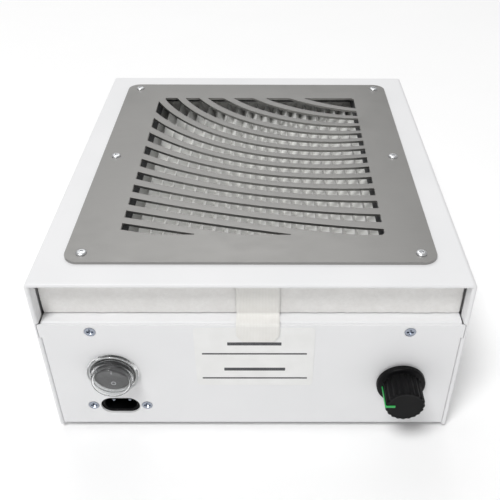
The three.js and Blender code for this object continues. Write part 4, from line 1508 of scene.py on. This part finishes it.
@dataclass
class Inside:
    """Electronics, leads and fan, which show through the exhaust, the grille and the open filter slot."""

    bench: Bench

    def build(self) -> None:
        """Dresses finer copies of the inner CAD nodes."""
        sides = ("left", "right")
        refine = self.bench.refine
        refine([f"switch_terminal_{s}" for s in sides], STAMPED_BRASS, "casing", "brass", 0.15)
        refine([f"board_rail_{s}" for s in sides] + ["terminal_block"], GREY_ABS, "casing", "rocker_abs", 0.4)
        refine(["circuit_board"], SOLDER_MASK, "casing", "board_green", 0.1)
        refine(["suppression_capacitor"], DIPPED_EPOXY, "casing", "film_capacitor", 0.8)
        refine(["choke_coil"], COPPER_WINDING, "casing", "copper_winding", 0.1)
        refine(["heat_sink"], ZINC_PLATE, "casing", "zinc_steel", 0.15)
        refine(["motor_stator"], COPPER_WINDING, "casing", "copper_winding", 0.4)
        refine(["motor_plate"], GALVANISED, "casing", "galvanised_steel", 0.2)
        refine(["motor_rotor"], GALVANISED, "fan", "galvanised_steel", 0.3)
        refine(["impeller"], BLACK_ABS, "fan", "black_abs", 0.2)
        refine(["inlet_ring"], BLACK_ABS, "casing", "black_abs", 0.2)
        refine(["wire_socket_to_switch", "wire_switch_to_board"], RED_PVC, "casing", "red_lead", 0.1)
        blue = ["wire_socket_to_board", "wire_control_to_board", "wire_motor"]
        refine(blue, BLUE_PVC, "casing", "blue_lead", 0.1)


# ---------------------------------------------------------------- studio


@dataclass
class Studio:
    """Pale floor, soft light and the camera."""

    floor_half: float = 6.0
    yaw: float = math.radians(-0.33)
    pitch: float = math.radians(36.70)
    roll: float = math.radians(0.28)
    spot: tuple[float, float, float] = (0.00794, -0.3519, 0.3017)
    lens: float = 49.67
    shift: tuple[float, float] = (-0.0426, -0.004)

    def build(self) -> None:
        """Makes the floor, the lights and the camera."""
        self.floor()
        self.lights()
        self.camera()

    def floor(self) -> None:
        """One large matt square at floor height."""
        mesh = bpy.data.meshes.new("studio_floor")
        h = self.floor_half
        mesh.from_pydata([(-h, -h, 0), (h, -h, 0), (h, h, 0), (-h, h, 0)], [], [(0, 1, 2, 3)])
        mesh.materials.append(FLOOR_BOARD.material())
        obj = bpy.data.objects.new("studio_floor", mesh)
        bpy.context.scene.collection.objects.link(obj)

    def lights(self) -> None:
        """A pale sky, a key lamp high on the front left and a larger lamp behind."""
        world = bpy.data.worlds.new("studio_air")
        world.use_nodes = True
        world.node_tree.nodes.clear()
        fill = {"Color": linear("#FFFFFF"), "Strength": 0.38}
        air = add_node(world.node_tree, "ShaderNodeBackground", fill)
        add_node(world.node_tree, "ShaderNodeOutputWorld", {"Surface": air.outputs[0]})
        bpy.context.scene.world = world
        lamps = [("key", (-1.0, -1.73, 3.46), 1.3, 95.0), ("back", (-0.35, 2.56, 3.4), 3.4, 40.0)]
        for name, spot, size, power in lamps:
            lamp = bpy.data.lights.new(f"{name}_lamp", "AREA")
            lamp.shape, lamp.size, lamp.energy = "DISK", size, power
            obj = bpy.data.objects.new(f"{name}_lamp", lamp)
            bpy.context.scene.collection.objects.link(obj)
            look = Vector((0, 0, 0.05)) - Vector(spot)
            obj.matrix_world = Matrix.Translation(spot) @ look.to_track_quat("-Z", "Y").to_matrix().to_4x4()

    def camera(self) -> None:
        """The camera: forward is +Y turned by yaw and pitched down, and the frame is then rolled."""
        level = math.cos(self.pitch)
        forward = Vector((-math.sin(self.yaw) * level, math.cos(self.yaw) * level, -math.sin(self.pitch)))
        right = Vector((math.cos(self.yaw), math.sin(self.yaw), 0))
        up = right.cross(forward)
        c, s = math.cos(self.roll), math.sin(self.roll)
        across, over = c * right + s * up, c * up - s * right
        camera = bpy.data.cameras.new("studio_camera")
        camera.lens, camera.sensor_width = self.lens, 36.0
        camera.shift_x, camera.shift_y = self.shift
        camera.clip_start, camera.clip_end = 0.01, 50
        camera.dof.use_dof = False
        obj = bpy.data.objects.new("studio_camera", camera)
        bpy.context.scene.collection.objects.link(obj)
        turn = Matrix((across, over, -forward)).transposed().to_4x4()
        obj.matrix_world = Matrix.Translation(self.spot) @ turn
        bpy.context.scene.camera = obj
        bpy.context.scene.view_settings.view_transform = "Standard"


def corners(bounds: Sequence[Sequence[float]]) -> list[list[float]]:
    """A box as plain lists of numbers."""
    return [[float(value) for value in corner] for corner in bounds]


def main() -> None:
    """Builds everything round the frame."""
    logging.basicConfig(level=logging.INFO, format="%(name)s: %(message)s", stream=sys.stdout)
    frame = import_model()
    bench = Bench(frame)
    Studio().build()
    for assembly in (Casing, Grille, FilterCartridge, PowerSwitch, MainsInlet, SpeedControl, Inside):
        assembly(bench).build()


if __name__ == "__main__":
    main()
